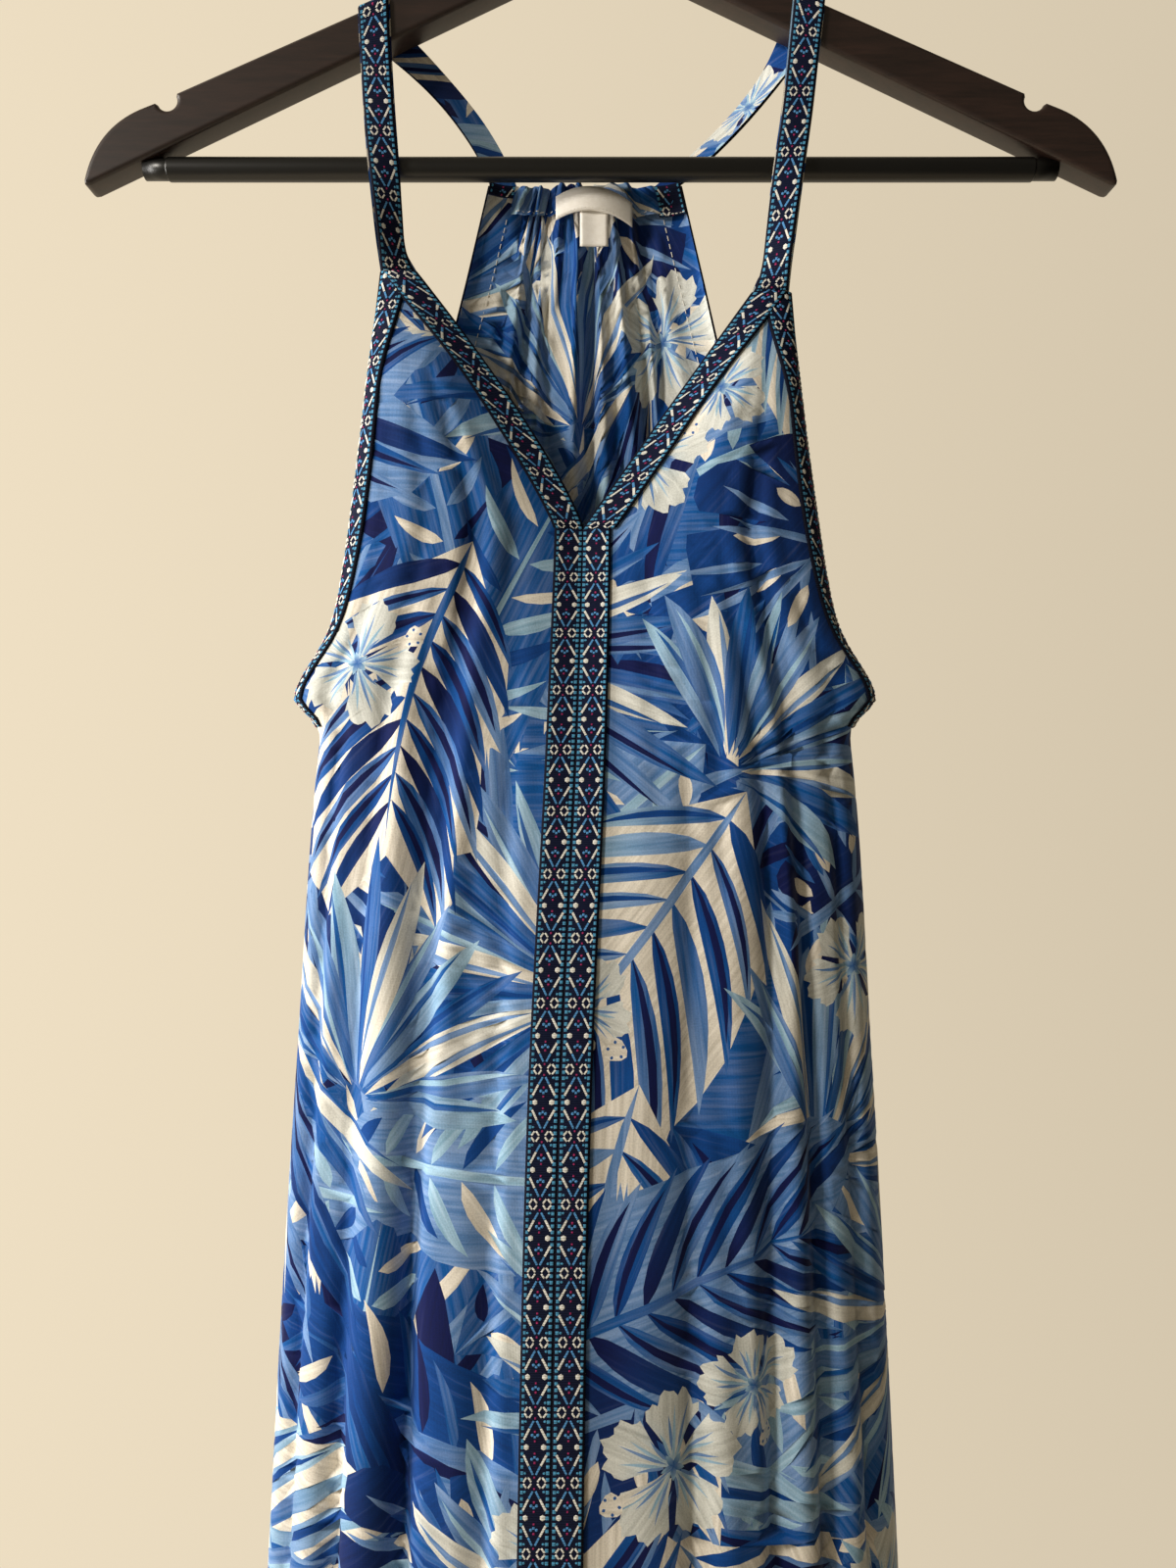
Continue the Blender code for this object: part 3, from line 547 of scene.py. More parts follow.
def front_row(side, z):
    """Points across one half of the front at height z, from the neck or centre to the side."""
    base = front_outline(side, z)
    along = places_along(base)
    strip = strip_width(side, z)
    middle = along[-1] - strip - TRIM_WIDTH
    places = np.linspace(0, along[-1], ROW_POINTS)
    points = at_places(base, along, places)
    flare(points, z, side)
    normals = outward_normals(points, np.array((side * 0.2, -1.0)))
    share = np.clip((places - strip) / middle, 0, 1)
    sink = troughs(share, *fold_shares(side, z), middle)
    free = eased(4 * share) * eased(4 * (1 - share))
    calm = eased((PEAK_Z[side] - z) / PEAK_CALM)
    sink += (creased(share, side, z, middle) + calm * ripples(share, z, side)) * free
    sink = blurred(sink, CREASE_BLUR / (along[-1] / ROW_POINTS))
    for reach in (places - strip, along[-1] - TRIM_WIDTH - places):
        sink *= eased(reach / EDGE_FADE + 0.3)
    return lifted(points - normals * sink[:, None], z)


def back_edge(side, z):
    if z <= UNDERARM_Z:
        _, outer = front_edges(side, z)
        return outer + np.array((0, GAP))
    _, seam = front_edges(side, UNDERARM_Z)
    fall = (BACK_TOP_Z - z) / (BACK_TOP_Z - UNDERARM_Z)
    middle = body_at(z, "middle_x")
    top = np.array((middle + side * BACK_TOP_HALF, BACK_TOP_Y))
    swing = fall + BACK_EDGE_BOW * (fall**4 - fall)
    return top + (seam + np.array((0, GAP)) - top) * np.array((swing, fall))


def back_row(z):
    """Points across the back at height z, from left to right."""
    left, right = back_edge(-1, z), back_edge(1, z)
    fall = eased((BACK_TOP_Z - z) / (BACK_TOP_Z - UNDERARM_Z))
    depth = BACK_TOP_BOW + (body_at(z, "back_y") - body_at(z, "seam_y") - BACK_TOP_BOW) * fall
    turn = np.linspace(0, math.pi, BACK_OUTLINE_POINTS)
    power = 2 / SQUARENESS
    across = 0.5 - 0.5 * np.sign(np.cos(turn)) * np.abs(np.cos(turn)) ** power
    base = left + (right - left) * across[:, None]
    base[:, 1] += depth * np.abs(np.sin(turn)) ** power
    along = places_along(base)
    middle = along[-1] - 2 * TRIM_WIDTH
    places = np.linspace(0, along[-1], ROW_POINTS)
    points = at_places(base, along, places)
    for side in (-1, 1):
        flare(points, z, side)
    shares = np.clip((places - TRIM_WIDTH) / middle, 0, 1)
    wave = BACK_FOLDS * (shares + BACK_FOLD_SWAY * np.sin(3 * math.pi * shares) * (1 - shares))
    most = BACK_DEEPEST_FOLD * middle / BACK_FOLDS
    deepest = min(smooth_between(-z, *zip(*BACK_FOLD_DEPTH)), most)
    fade = np.minimum(1, 5 * np.minimum(shares, 1 - shares))
    sinks = deepest * fade * (0.5 - 0.5 * np.cos(2 * math.pi * wave))
    gathers = GATHER_DEPTH * fade * eased((z - BACK_TOP_Z + GATHER_FALL) / GATHER_FADE)
    turns = GATHERS_PER_FOLD * wave + 1.3 * np.sin(5 * shares)
    sinks += gathers * np.abs(np.sin(math.pi * turns)) ** 0.7
    sinks += (ripples(shares, z, 4.0) + creased(shares, 0, z, middle)) * fade
    normals = outward_normals(points, np.array((0.0, 1.0)))
    return lifted(points - normals * sinks[:, None], z)


class Cloth:
    """A hung piece of cloth: its points in space over its flat cut, in metres across and down."""

    def __init__(self, rows, starts, down=None):
        self.down = np.array([-row[0, 2] for row in rows]) if down is None else down
        along = [places_along(row) for row in rows]
        self.start = np.array(starts)
        self.length = np.array([reach[-1] for reach in along])
        shares = np.linspace(0, 1, ROW_POINTS)
        self.points = np.array([at_places(row, a, shares * a[-1]) for row, a in zip(rows, along)])
        across = np.gradient(self.points, axis=1)
        down = np.gradient(self.points, axis=0)
        self.normals = unit(np.cross(across, down))
        self.area = np.trapz(self.length, self.down)

    def ends(self, down):
        """Where the cut starts and ends, at depths down from the origin."""
        start = np.interp(down, self.down, self.start)
        return start, start + np.interp(down, self.down, self.length)

    def at(self, flat, lift=0.0):
        """Points and normals in space of places on the flat cut."""
        start, end = self.ends(flat[:, 1])
        row = np.interp(flat[:, 1], self.down, np.arange(len(self.down)))
        column = np.clip((flat[:, 0] - start) / (end - start), 0, 1) * (ROW_POINTS - 1)
        normals = unit(blended(self.normals, row, column))
        return blended(self.points, row, column) + normals * lift, normals

    def outline(self):
        """The cut's edge as a closed line of points."""
        steps = max(int((self.down[-1] - self.down[0]) / EDGE_STEP), 2)
        down = np.linspace(self.down[0], self.down[-1], steps + 1)
        start, end = self.ends(down)

        def level_edge(left, right, height):
            between = np.linspace(left, right, max(int(abs(right - left) / EDGE_STEP), 1) + 1)[1:-1]
            return np.column_stack((between, np.full(len(between), height)))

        return np.concatenate((
            level_edge(start[0], end[0], down[0]),
            np.column_stack((end, down)),
            level_edge(end[-1], start[-1], down[-1]),
            np.column_stack((start[::-1], down[::-1])),
        ))

    def holds(self, flat, margin=0.0):
        start, end = self.ends(flat[:, 1])
        across = (flat[:, 0] > start + margin) & (flat[:, 0] < end - margin)
        down = (flat[:, 1] > self.down[0] + margin) & (flat[:, 1] < self.down[-1] - margin)
        return across & down


def spine(start, angle, length, bend, count):
    """Points along a line that turns by bend, in radians, from end to end."""
    turn = angle + bend * np.linspace(-0.5, 0.5, count - 1)
    steps = length / (count - 1) * around(turn)
    return np.vstack((start, np.asarray(start) + np.cumsum(steps, axis=0)))


def blade(start, angle, length, width, bend=0.0, widest=0.5, count=8, blunt=0.85):
    """A leaf's outline round a curved spine."""
    line = spine(start, angle, length, bend, count)
    share = np.linspace(0, 1, count)
    half = width / 2 * np.sin(math.pi * share ** (math.log(0.5) / math.log(widest))) ** blunt
    tangents = unit(np.gradient(line, axis=0))
    aside = np.stack((-tangents[:, 1], tangents[:, 0]), axis=1) * half[:, None]
    return np.vstack((line + aside, (line - aside)[-2:0:-1]))


class Print:
    """The shapes of one repeat, in the order in which they are printed."""

    def __init__(self):
        self.shapes = []
        self.rng = np.random.default_rng(SEED)

    def put(self, outline, colour, tip=None, axis=None):
        if axis is None:
            axis = (outline[0], outline[len(outline) // 2])
        self.shapes.append((outline, np.array(colour), np.array(tip or colour), axis))

    def scatter(self, columns, rows, jitter):
        """Places on a loose grid over the repeat."""
        for k in range(columns * rows):
            cell = np.array((k % columns + 0.5 * (k // columns % 2), k // columns + 0.5))
            place = cell + jitter * (self.rng.random(2) - 0.5)
            yield k, place / (columns, rows) * TILE

    def strap_leaf(self, at, angle, length, width, bend, colours):
        """A long smooth leaf with a lit edge and a dark one."""
        base, light, dark = colours
        self.put(blade(at, angle, length, width, bend, 0.42, 12), base, light)
        rim = at + 0.16 * width * beside(angle)
        self.put(blade(rim, angle, length * 0.86, width * 0.22, bend, 0.5, 10), dark)
        rim = at - 0.14 * width * beside(angle)
        self.put(blade(rim, angle, length * 0.78, width * 0.14, bend, 0.6, 9), light)

    def ribbed_leaf(self, at, angle, length, width, bend, colours):
        """A broad leaf with a rib and slanted stripes, some of them cream."""
        base, light, dark = colours
        self.put(blade(at, angle, length, width, bend, 0.45, 14, 0.7), base)
        count = 16
        rib = spine(at, angle, length, bend, count)
        headings = angle + bend * np.linspace(-0.5, 0.5, count)
        for i in range(1, count - 2):
            for side in (-1, 1):
                reach = 0.46 * width * math.sin(math.pi * min((i + 0.6) / count, 1)) ** 0.7
                colour = (CREAM, light, dark, light)[(i + side) % 4]
                wide = 0.0046 + 0.003 * self.rng.random()
                slant = headings[i] + side * math.radians(48 + 8 * self.rng.random())
                root = rib[i] + 0.003 * towards(slant)
                self.put(blade(root, slant, reach / 0.8, wide, -side * 0.45, 0.4, 7), colour)
        self.put(blade(at, angle, length * 0.97, 0.0042, bend, 0.2, 12), light)

    def fan(self, at, angle, size, colours, blades=17):
        """A fan palm's leaf: long blades that spread from one root, overlapping."""
        for k in self.rng.permutation(blades):
            turn = angle + (k / (blades - 1) - 0.5) * 2.7 + 0.08 * (self.rng.random() - 0.5)
            long = size * (0.72 + 0.28 * math.cos(turn - angle)) * (0.86 + 0.28 * self.rng.random())
            base, tip, edge = colours[k % len(colours)]
            width = 0.0085 + 0.0055 * self.rng.random()
            bend = 0.5 * (turn - angle) * self.rng.random()
            root = at + 0.006 * towards(turn)
            self.put(blade(root, turn, long, width, bend, 0.55, 10), base, tip)
            rim = root + 0.0018 * beside(turn)
            self.put(blade(rim, turn + 0.01, long * 0.9, 0.0026, bend, 0.6, 8), edge)

    def frond(self, at, angle, length, bend, reach, colours, leaflets=11, under=CREAM):
        """A palm frond, with long thin leaflets on both sides of a rib."""
        rib = spine(at, angle, length, bend, leaflets + 2)
        headings = angle + bend * np.linspace(-0.5, 0.5, leaflets + 2)
        drawn, tips = [], {-1: [], 1: []}
        for i in range(1, leaflets + 1):
            share = i / (leaflets + 1)
            for side in (-1, 1):
                slant = headings[i] + side * math.radians(54 - 30 * share)
                size = reach * (0.60 + 0.72 * math.sin(math.pi * (0.14 + 0.66 * share)))
                size *= 0.90 + 0.2 * self.rng.random()
                base, light, dark = colours[(2 * i + (side > 0)) % len(colours)]
                width = 0.0084 * (0.75 + 0.5 * self.rng.random())
                leaf = blade(rib[i], slant, size, width, -side * 0.38, 0.4, 9)
                drawn.append((leaf, base, light))
                if (i + side) % 3:
                    turn, long, thin = slant + side * 0.03, size * 0.86, width * 0.36
                    edge = blade(rib[i], turn, long, thin, -side * 0.40, 0.5, 7)
                    drawn.append((edge, dark, None))
                tips[side].append(leaf[8] * 0.94 + rib[i] * 0.06)
        end = rib[-1] + (rib[-1] - rib[-2])
        self.put(np.array([rib[0], *tips[-1], end, *tips[1][::-1]]), under)
        for leaf, base, light in drawn:
            self.put(leaf, base, light)
        self.put(blade(at, angle, length * 1.05, 0.0040, bend, 0.25, 12), colours[0][1])

    def split_leaf(self, at, angle, size, colours):
        """A broad leaf with deep slits at its edge, holes by its rib and pale veins."""
        base, deep, vein = colours
        lobes = 9
        turns = np.linspace(-2.5, 2.5, lobes + 1)
        heading = towards(angle)
        outline = []
        for i, (turn, after) in enumerate(zip(turns, turns[1:])):
            for t in (0.13, 0.28, 0.5, 0.72, 0.87):
                out = turn + (after - turn) * t
                swell = 1 - 0.09 * (2 * t - 1) ** 2 + 0.05 * math.sin(3 * i + 5 * t)
                outline.append((out, size * (0.68 + 0.34 * math.cos(out)) * swell))
            outline.append((after, size * (0.34 + 0.14 * math.cos(after))))
        outline = np.array(outline[:-1] + [(math.pi, 0.10 * size)])
        edge = at + around(outline[:, 0] + angle) * outline[:, 1:]
        self.put(edge, base, deep, (at - heading * size * 0.4, at + heading * size))
        for i in range(lobes):
            turn = 0.5 * (turns[i] + turns[i + 1])
            width = turns[i + 1] - turns[i]
            root = at + heading * size * 0.30 * math.cos(turn)
            reach = size * (0.68 + 0.34 * math.cos(turn))
            bend = 0.2 * np.sign(turn)
            self.put(blade(root, angle + turn * 0.94, 0.72 * reach, 0.0036, bend, 0.25, 7), vein)
            for off in (-0.30, 0.30):
                tone = (PERIWINKLE, DENIM, vein)[i % 3]
                out = angle + turn + off * width
                place = root + 0.30 * reach * towards(out)
                self.put(blade(place, out, 0.52 * reach, 0.0042, 0.1, 0.4, 6), tone)
            out = angle + turn + 0.5 * width
            place = at + heading * size * 0.12 * math.cos(turn) + 0.30 * reach * towards(out)
            long = 0.24 * size * (0.7 + 0.6 * self.rng.random())
            self.put(blade(place, out, long, 0.0045 + 0.08 * long, 0.1, 0.5, 7, 0.55), CREAM)
        stem = at - heading * size * 0.45
        self.put(blade(stem, angle, size * 1.36, 0.0056, 0.06, 0.2, 9), vein)

    def hibiscus(self, at, angle, size):
        """An open flower with five ruffled petals, fine veins and a dotted column."""
        for k in (0, 2, 4, 1, 3):
            heading = angle + k * 2 * math.pi / 5 + 0.12 * (self.rng.random() - 0.5)
            long = size * (0.90 + 0.2 * self.rng.random())
            turns = np.linspace(-0.56, 0.56, 17)
            ruffle = 0.05 * np.sin(19 * turns + 2 * k) + 0.035 * np.sin(37 * turns + k)
            reach = long * (0.62 + 0.38 * np.cos(turns * 2.1) + ruffle)
            spread = np.concatenate(((0.0, -0.34, -0.50), turns, (0.50, 0.34)))
            radius = np.concatenate(((0.02, 0.26, 0.50), reach / long, (0.50, 0.26))) * long
            edge = at + around(heading + spread) * radius[:, None]
            ahead = long * towards(heading)
            self.put(edge, AQUA, PEARL, (at - 0.25 * ahead, at + 0.75 * ahead))
            veins = zip((-0.44, -0.28, -0.12, 0.02, 0.18, 0.32, 0.46), VEIN_REACHES)
            for j, (turn, reach) in enumerate(veins):
                tone = (PEARL, PERIWINKLE, AQUA)[(j + k) % 3]
                root = at + (0.10 + 0.05 * (j % 3)) * long * towards(heading + turn)
                vein = blade(root, heading + turn, long * reach, 0.0014, turn * 0.6, 0.35, 5)
                self.put(vein, tone)
        for k in range(5):
            heading = angle + (k + 0.5) * 2 * math.pi / 5
            self.put(blade(at, heading, 0.20 * size, 0.0026, 0.0, 0.4, 5), DENIM, AQUA)
        heading = angle + 0.45
        self.put(blade(at, heading, 1.05 * size, 0.0050, 0.15, 0.75, 7, 0.6), PEARL, CREAM)
        self.put(blade(at, heading - 0.03, 0.74 * size, 0.0010, 0.15, 0.4, 5), PERIWINKLE)
        tip = at + size * towards(heading)
        turns = np.linspace(0, 2 * math.pi, 13)[:-1]
        knob = 0.0046 * around(turns) * (1 + 0.12 * np.sin(3 * turns))[:, None]
        self.put(tip + knob, CREAM)
        for k in range(5):
            turn = heading + k * 2 * math.pi / 5
            dot = tip + 0.0025 * towards(turn)
            self.put(blade(dot, turn, 0.0016, 0.0013, 0.0, 0.5, 4, 0.5), DENIM)


def tropical_print():
    """The print's repeat: broad leaves below, then fronds, split leaves and flowers on top."""
    made = Print()

    def up_to(least, more):
        return least + more * made.rng.random()

    def turned():
        return up_to(0, 2) * math.pi

    for k, at in made.scatter(4, 5, 0.4):
        tones = BLUES[(5 * k + 1) % 6]
        made.ribbed_leaf(at, 0.7 + 2.4 * k, 0.24, 0.115, up_to(0.4, -0.8), tones)
    for k, at in made.scatter(5, 6, 0.9):
        width = up_to(0.056, 0.026)
        tones = BLUES[(3 * k + k // 5) % 6]
        made.ribbed_leaf(at, turned(), up_to(0.19, 0.06), width, up_to(0.5, -1.0), tones)
    for k, at in made.scatter(4, 6, 0.9):
        width = up_to(0.016, 0.018)
        tones = BLUES[(2 * k + k // 4) % 6]
        made.strap_leaf(at, turned(), up_to(0.12, 0.06), width, up_to(0.9, -1.8), tones)
    for k, at in made.scatter(3, 4, 0.7):
        if k % 3 == 1:
            tones = (BLUES[0], BLUES[2], BLUES[1], BLUES[4])
            length, bend = up_to(0.17, 0.03), up_to(0.6, -1.2)
            made.frond(at, 0.9 + 1.9 * k, length, bend, 0.074, tones, 13)
        else:
            tones = LIGHT_FAN if k % 3 else DARK_FAN
            made.fan(at, 0.4 + 2.2 * k, up_to(0.105, 0.025), tones)
    for k, at in made.scatter(2, 3, 0.6):
        tones = (NAVY, ROYAL, PERIWINKLE) if k % 2 else (ROYAL, NAVY, PERIWINKLE)
        made.split_leaf(at, 0.6 + 1.7 * k, up_to(0.068, 0.014), tones)
    for k, at in made.scatter(3, 3, 0.8):
        if k % 2:
            tones = (BLUES[1], BLUES[0], BLUES[3])
            under = (CREAM, PERIWINKLE)[k // 2 % 2]
            length, bend = up_to(0.12, 0.03), up_to(0.7, -1.4)
            made.frond(at, 2.4 + 2.3 * k, length, bend, 0.056, tones, 10, under)
        else:
            made.fan(at, 1.4 + 2.6 * k, up_to(0.078, 0.02), LIGHT_FAN, 13)
    for k, at in made.scatter(3, 3, 0.5):
        made.hibiscus(at + np.array((0.05, 0.04)), turned(), up_to(0.026, 0.005))
        if k % 2:
            made.hibiscus(at + np.array((0.085, 0.012)), turned(), 0.022)
    return made.shapes


def inside(points, outline):
    """Which points lie inside a closed outline."""
    x, y = points[:, :1], points[:, 1:]
    x0, y0 = outline.T
    x1, y1 = np.roll(outline, -1, axis=0).T
    rise = np.where(y1 == y0, 1e-12, y1 - y0)
    crosses = ((y0 > y) != (y1 > y)) & (x < x0 + (y - y0) * (x1 - x0) / rise)
    return crosses.sum(axis=1) % 2 == 1


class Places:
    """Points on a cut, sorted down it, so that those inside an outline are found fast."""

    def __init__(self, points):
        self.points = points
        self.order = np.argsort(points[:, 1])
        self.down = points[self.order, 1]

    def within(self, outline):
        low, high = outline.min(axis=0), outline.max(axis=0)
        first, last = np.searchsorted(self.down, (low[1], high[1]))
        near = self.order[first:last]
        across = self.points[near, 0]
        near = near[(across > low[0]) & (across < high[0])]
        return near[inside(self.points[near], outline)]


def laid_shapes(shapes, low, high, shift):
    """The repeat's shapes over a cut's box, in the order in which they are printed."""
    laid = []
    for outline, root, tip, axis in shapes:
        least, most = outline.min(axis=0) + shift, outline.max(axis=0) + shift
        first = np.ceil((low - most) / TILE).astype(int)
        last = np.floor((high - least) / TILE).astype(int)
        for i in range(first[0], last[0] + 1):
            for j in range(first[1], last[1] + 1):
                move = shift + TILE * (i, j)
                laid.append((outline + move, root, tip, (axis[0] + move, axis[1] + move)))
    return laid


def seen_edges(laid, cloth):
    """The corners and edges of the laid shapes that no later shape covers."""
    sizes = [len(shape[0]) for shape in laid]
    corners = np.concatenate([shape[0] for shape in laid])
    firsts = np.concatenate(((0,), np.cumsum(sizes)))
    places = Places(corners)
    hidden = np.zeros(len(corners), bool)
    for k, (outline, *_) in enumerate(laid):
        under = places.within(outline)
        hidden[under[under < firsts[k]]] = True
    hidden |= ~cloth.holds(corners, -SHAPES_MARGIN)
    edges = []
    for k, size in enumerate(sizes):
        ring = firsts[k] + np.arange(size)
        after = np.roll(ring, -1)
        kept = ~(hidden[ring] & hidden[after])
        edges.append(np.stack((ring[kept], after[kept]), axis=1))
    return corners, np.concatenate(edges)


def triangulated(cloth, corners, edges):
    """Triangles over a cut that follow its edge, a grid and the print's edges."""
    outline = cloth.outline()
    ring = np.arange(len(outline))
    low, high = outline.min(axis=0), outline.max(axis=0)
    columns = np.arange(low[0], high[0], MESH_ACROSS)
    rows = np.arange(low[1], high[1], MESH_DOWN)
    grid = np.stack(np.meshgrid(columns, rows), axis=-1)
    grid[1::2, :, 0] += MESH_ACROSS / 2
    grid = grid.reshape(-1, 2)
    grid = grid[cloth.holds(grid, GRID_MARGIN)]
    used, edges = np.unique(edges, return_inverse=True)
    corners = corners[used]
    edges = edges.reshape(-1, 2) + len(outline)
    points = np.concatenate((outline, corners, grid)) * (1, DOWN_SCALE)
    rim = np.stack((ring, np.roll(ring, -1)), axis=1)
    every = [tuple(map(int, edge)) for edge in np.concatenate((rim, edges))]
    made = delaunay_2d_cdt([Vector(point) for point in points], every, [], 0, 2e-5)
    flat = np.array([tuple(point) for point in made[0]]) / (1, DOWN_SCALE)
    faces = np.array([face for face in made[2] if len(face) == 3])
    return flat, faces[cloth.holds(flat[faces].mean(axis=1))]


def face_colours(flat, faces, laid, ground):
    """The print's colour at each corner of each triangle, and its place in its stroke."""
    centres = Places(flat[faces].mean(axis=1))
    top = np.full(len(faces), -1)
    for k, (outline, *_) in enumerate(laid):
        top[centres.within(outline)] = k
    colours = np.tile(np.array(ground), (len(faces), 3, 1))
    strokes = flat[faces]
    for k in np.unique(top[top >= 0]):
        _, root, tip, (start, end) = laid[k]
        mine = top == k
        length = np.linalg.norm(end - start)
        ahead = (end - start) / length
        places = flat[faces[mine]] - start
        share = eased(places @ ahead / length)
        colours[mine] = root + (tip - root) * share[..., None]
        aside = np.array((-ahead[1], ahead[0]))
        strokes[mine] = np.stack((places @ ahead + k, places @ aside), axis=-1)
    return colours, strokes


def new_mesh(name, points, faces, smooth=True):
    mesh = bpy.data.meshes.new(name)
    mesh.from_pydata([tuple(p) for p in points], [], [tuple(map(int, f)) for f in faces])
    mesh.polygons.foreach_set("use_smooth", np.full(len(mesh.polygons), smooth))
    return mesh


def placed(name, data):
    made = bpy.data.objects.new(name, data)
    bpy.context.scene.collection.objects.link(made)
    return made


def add_object(name, data, look, node=None):
    data.materials.append(look)
    made = placed(name, data)
    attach(made, "root")
    if node:
        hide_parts(node)
    return made


def add_flat_places(mesh, name, places):
    """A UV map of places in metres, one for each face corner."""
    layer = mesh.uv_layers.new(name=name)
    layer.data.foreach_set("uv", places.astype(np.float32).ravel())


def coloured_mesh(name, points, faces, colours, places):
    """A smooth mesh with a colour for each face corner, and a place on the cut for each point."""
    mesh = new_mesh(name, points, faces)
    tint = mesh.color_attributes.new(name="tint", type="FLOAT_COLOR", domain="CORNER")
    values = np.concatenate((colours.reshape(-1, 3), np.ones((colours.size // 3, 1))), axis=1)
    tint.data.foreach_set("color", values.astype(np.float32).ravel())
    corner = np.zeros(len(mesh.loops), int)
    mesh.loops.foreach_get("vertex_index", corner)
    add_flat_places(mesh, "cut", places[corner])
    return mesh


def printed_piece(name, cloth, shapes, shift, look, node):
    """One piece of printed cloth, hung as cloth says."""
    outline = cloth.outline()
    laid = laid_shapes(shapes, outline.min(axis=0), outline.max(axis=0), np.array(shift))
    flat, faces = triangulated(cloth, *seen_edges(laid, cloth))
    colours, strokes = face_colours(flat, faces, laid, DENIM)
    points, normals = cloth.at(flat)
    mesh = coloured_mesh(name, points, faces, colours, flat)
    add_flat_places(mesh, "stroke", strokes)
    mesh.normals_split_custom_set_from_vertices([tuple(n) for n in normals])
    return add_object(name, mesh, look, node)


def wall_faces(rows, columns):
    """The faces of a closed wall between two grids of points, one grid after the other."""
    below = rows * columns
    faces = []
    for r in range(rows - 1):
        for c in range(columns - 1):
            a = r * columns + c
            quad = (a, a + 1, a + 1 + columns, a + columns)
            faces += [quad, tuple(i + below for i in quad[::-1])]
    last = below - columns
    rim = []
    for c in range(columns - 1):
        rim += [(c + 1, c), (last + c, last + c + 1)]
    for a in range(0, last, columns):
        rim += [(a, a + columns), (a + 2 * columns - 1, a + columns - 1)]
    return faces + [(a, b, b + below, a + below) for a, b in rim]


class Band:
    """A woven band over a surface: places across, from -0.5 to 0.5, and along it in metres."""

    def __init__(self, points, normals):
        self.points = points
        self.normals = np.repeat(normals[:, None], points.shape[1], axis=1)
        self.along = places_along(points[:, points.shape[1] // 2])

    def at(self, across, along, lift):
        row = np.interp(along, self.along, np.arange(len(self.along)))
        column = (np.clip(across, -0.5, 0.5) + 0.5) * (self.points.shape[1] - 1)
        normals = unit(blended(self.normals, row, column))
        return blended(self.points, row, column) + normals * np.reshape(lift, (-1, 1))


def trim_chart():
    """One repeat's threads: a colour, a centre and four or six corners, across and along."""
    ratio = TRIM_REPEAT / TRIM_WIDTH
    made = []

    def float_between(colour, x0, y0, x1, y1, width):
        ahead = np.array((x1 - x0, (y1 - y0) * ratio))
        aside = width / 2 * np.array((-ahead[1], ahead[0])) / np.linalg.norm(ahead) / (1, ratio)
        start, end = np.array((x0, y0)), np.array((x1, y1))
        corners = np.array((start + aside, start - aside, end - aside, end + aside))
        made.append((THREADS[colour], corners))

    def dot(colour, x, y, width, height, corners):
        turns = np.arange(corners) * 2 * math.pi / corners + math.pi / corners
        ring = around(turns) * (width / 2, height / 2)
        made.append((THREADS[colour], np.array((x, y)) + ring * 1.15))

    for side in (-1, 1):
        for colour, x0, y0, x1, y1, width in FLOATS:
            float_between(colour, side * x0, y0, side * x1, y1, width)
        for colour, x, y, width, height in DOTS:
            dot(colour, side * x, y, width, height, 6)
        colour, x, width, height = EDGE_DOT
        for k in range(EDGE_DOTS):
            dot(colour, side * x, (k + 0.5) / EDGE_DOTS, width, height, 4)
    for colour, x, y, width, height in MIDDLE_DOTS:
        dot(colour, x, y, width, height, 4)
    return made


def band_ground(band, top, low):
    """The band's own closed body, with its edges rounded off."""
    across = np.array((-0.5, -0.46, -0.40, 0.0, 0.40, 0.46, 0.5))
    drop = np.array((0.55, 0.12, 0.0, 0.0, 0.0, 0.12, 0.55)) * (top - low)
    rows = len(band.along)
    along = np.repeat(band.along, len(across))
    heights = np.tile(top - drop, rows)
    levels = [band.at(np.tile(across, rows), along, lift) for lift in (heights, heights * 0 + low)]
    places = np.stack((np.tile(across * TRIM_WIDTH, rows), along), axis=1)
    selvage = np.abs(np.tile(across, rows * 2))[:, None] > 0.41
    colour = np.where(selvage, TRIM_SELVAGE, TRIM_GROUND)
    faces = wall_faces(rows, len(across))
    return np.concatenate(levels), faces, np.tile(places, (2, 1)), colour


def woven_trim(node, points, normals, look, lift=GAP, phase=0.0):
    """A length of the woven trim for a node, its pattern floats raised on its ground."""
    band = Band(points, normals)
    top = lift + TRIM_THICK
    ground, faces, places, tone = band_ground(band, top, lift)
    colours = list(tone[np.array(faces)].reshape(-1, 3))
    across, along, heights = [], [], []
    length = band.along[-1]
    if phase is None:
        phase = (length / TRIM_REPEAT - 0.06) % 1  # stars at its lower end
    for k in range(-1, int(length / TRIM_REPEAT) + 2):
        for colour, corners in trim_chart():
            v = (corners[:, 1] + k + phase) * TRIM_REPEAT
            if v.max() <= 0 or v.min() >= length:
                continue
            v = np.clip(v, 0, length)
            n, first = len(corners), len(ground) + len(across)
            across += [*corners[:, 0], corners[:, 0].mean()]
            along += [*v, v.mean()]
            heights += [top + FLOAT_LIFT / 3] * n + [top + FLOAT_LIFT + FLOAT_CROWN]
            faces += [(first + i, first + (i + 1) % n, first + n) for i in range(n)]
            colours += [colour] * (3 * n)
    points = np.concatenate((ground, band.at(across, along, heights)))
    flat = np.stack((np.array(across) * TRIM_WIDTH, along), axis=1)
    places = np.concatenate((places, flat))
    mesh = coloured_mesh(node + "_woven", points, faces, np.array(colours), places)
    return add_object(node + "_woven", mesh, look, node)


def new_material(name):
    made = bpy.data.materials.new(name)
    made.use_nodes = True
    tree = made.node_tree
    return made, tree, tree.nodes["Principled BSDF"]


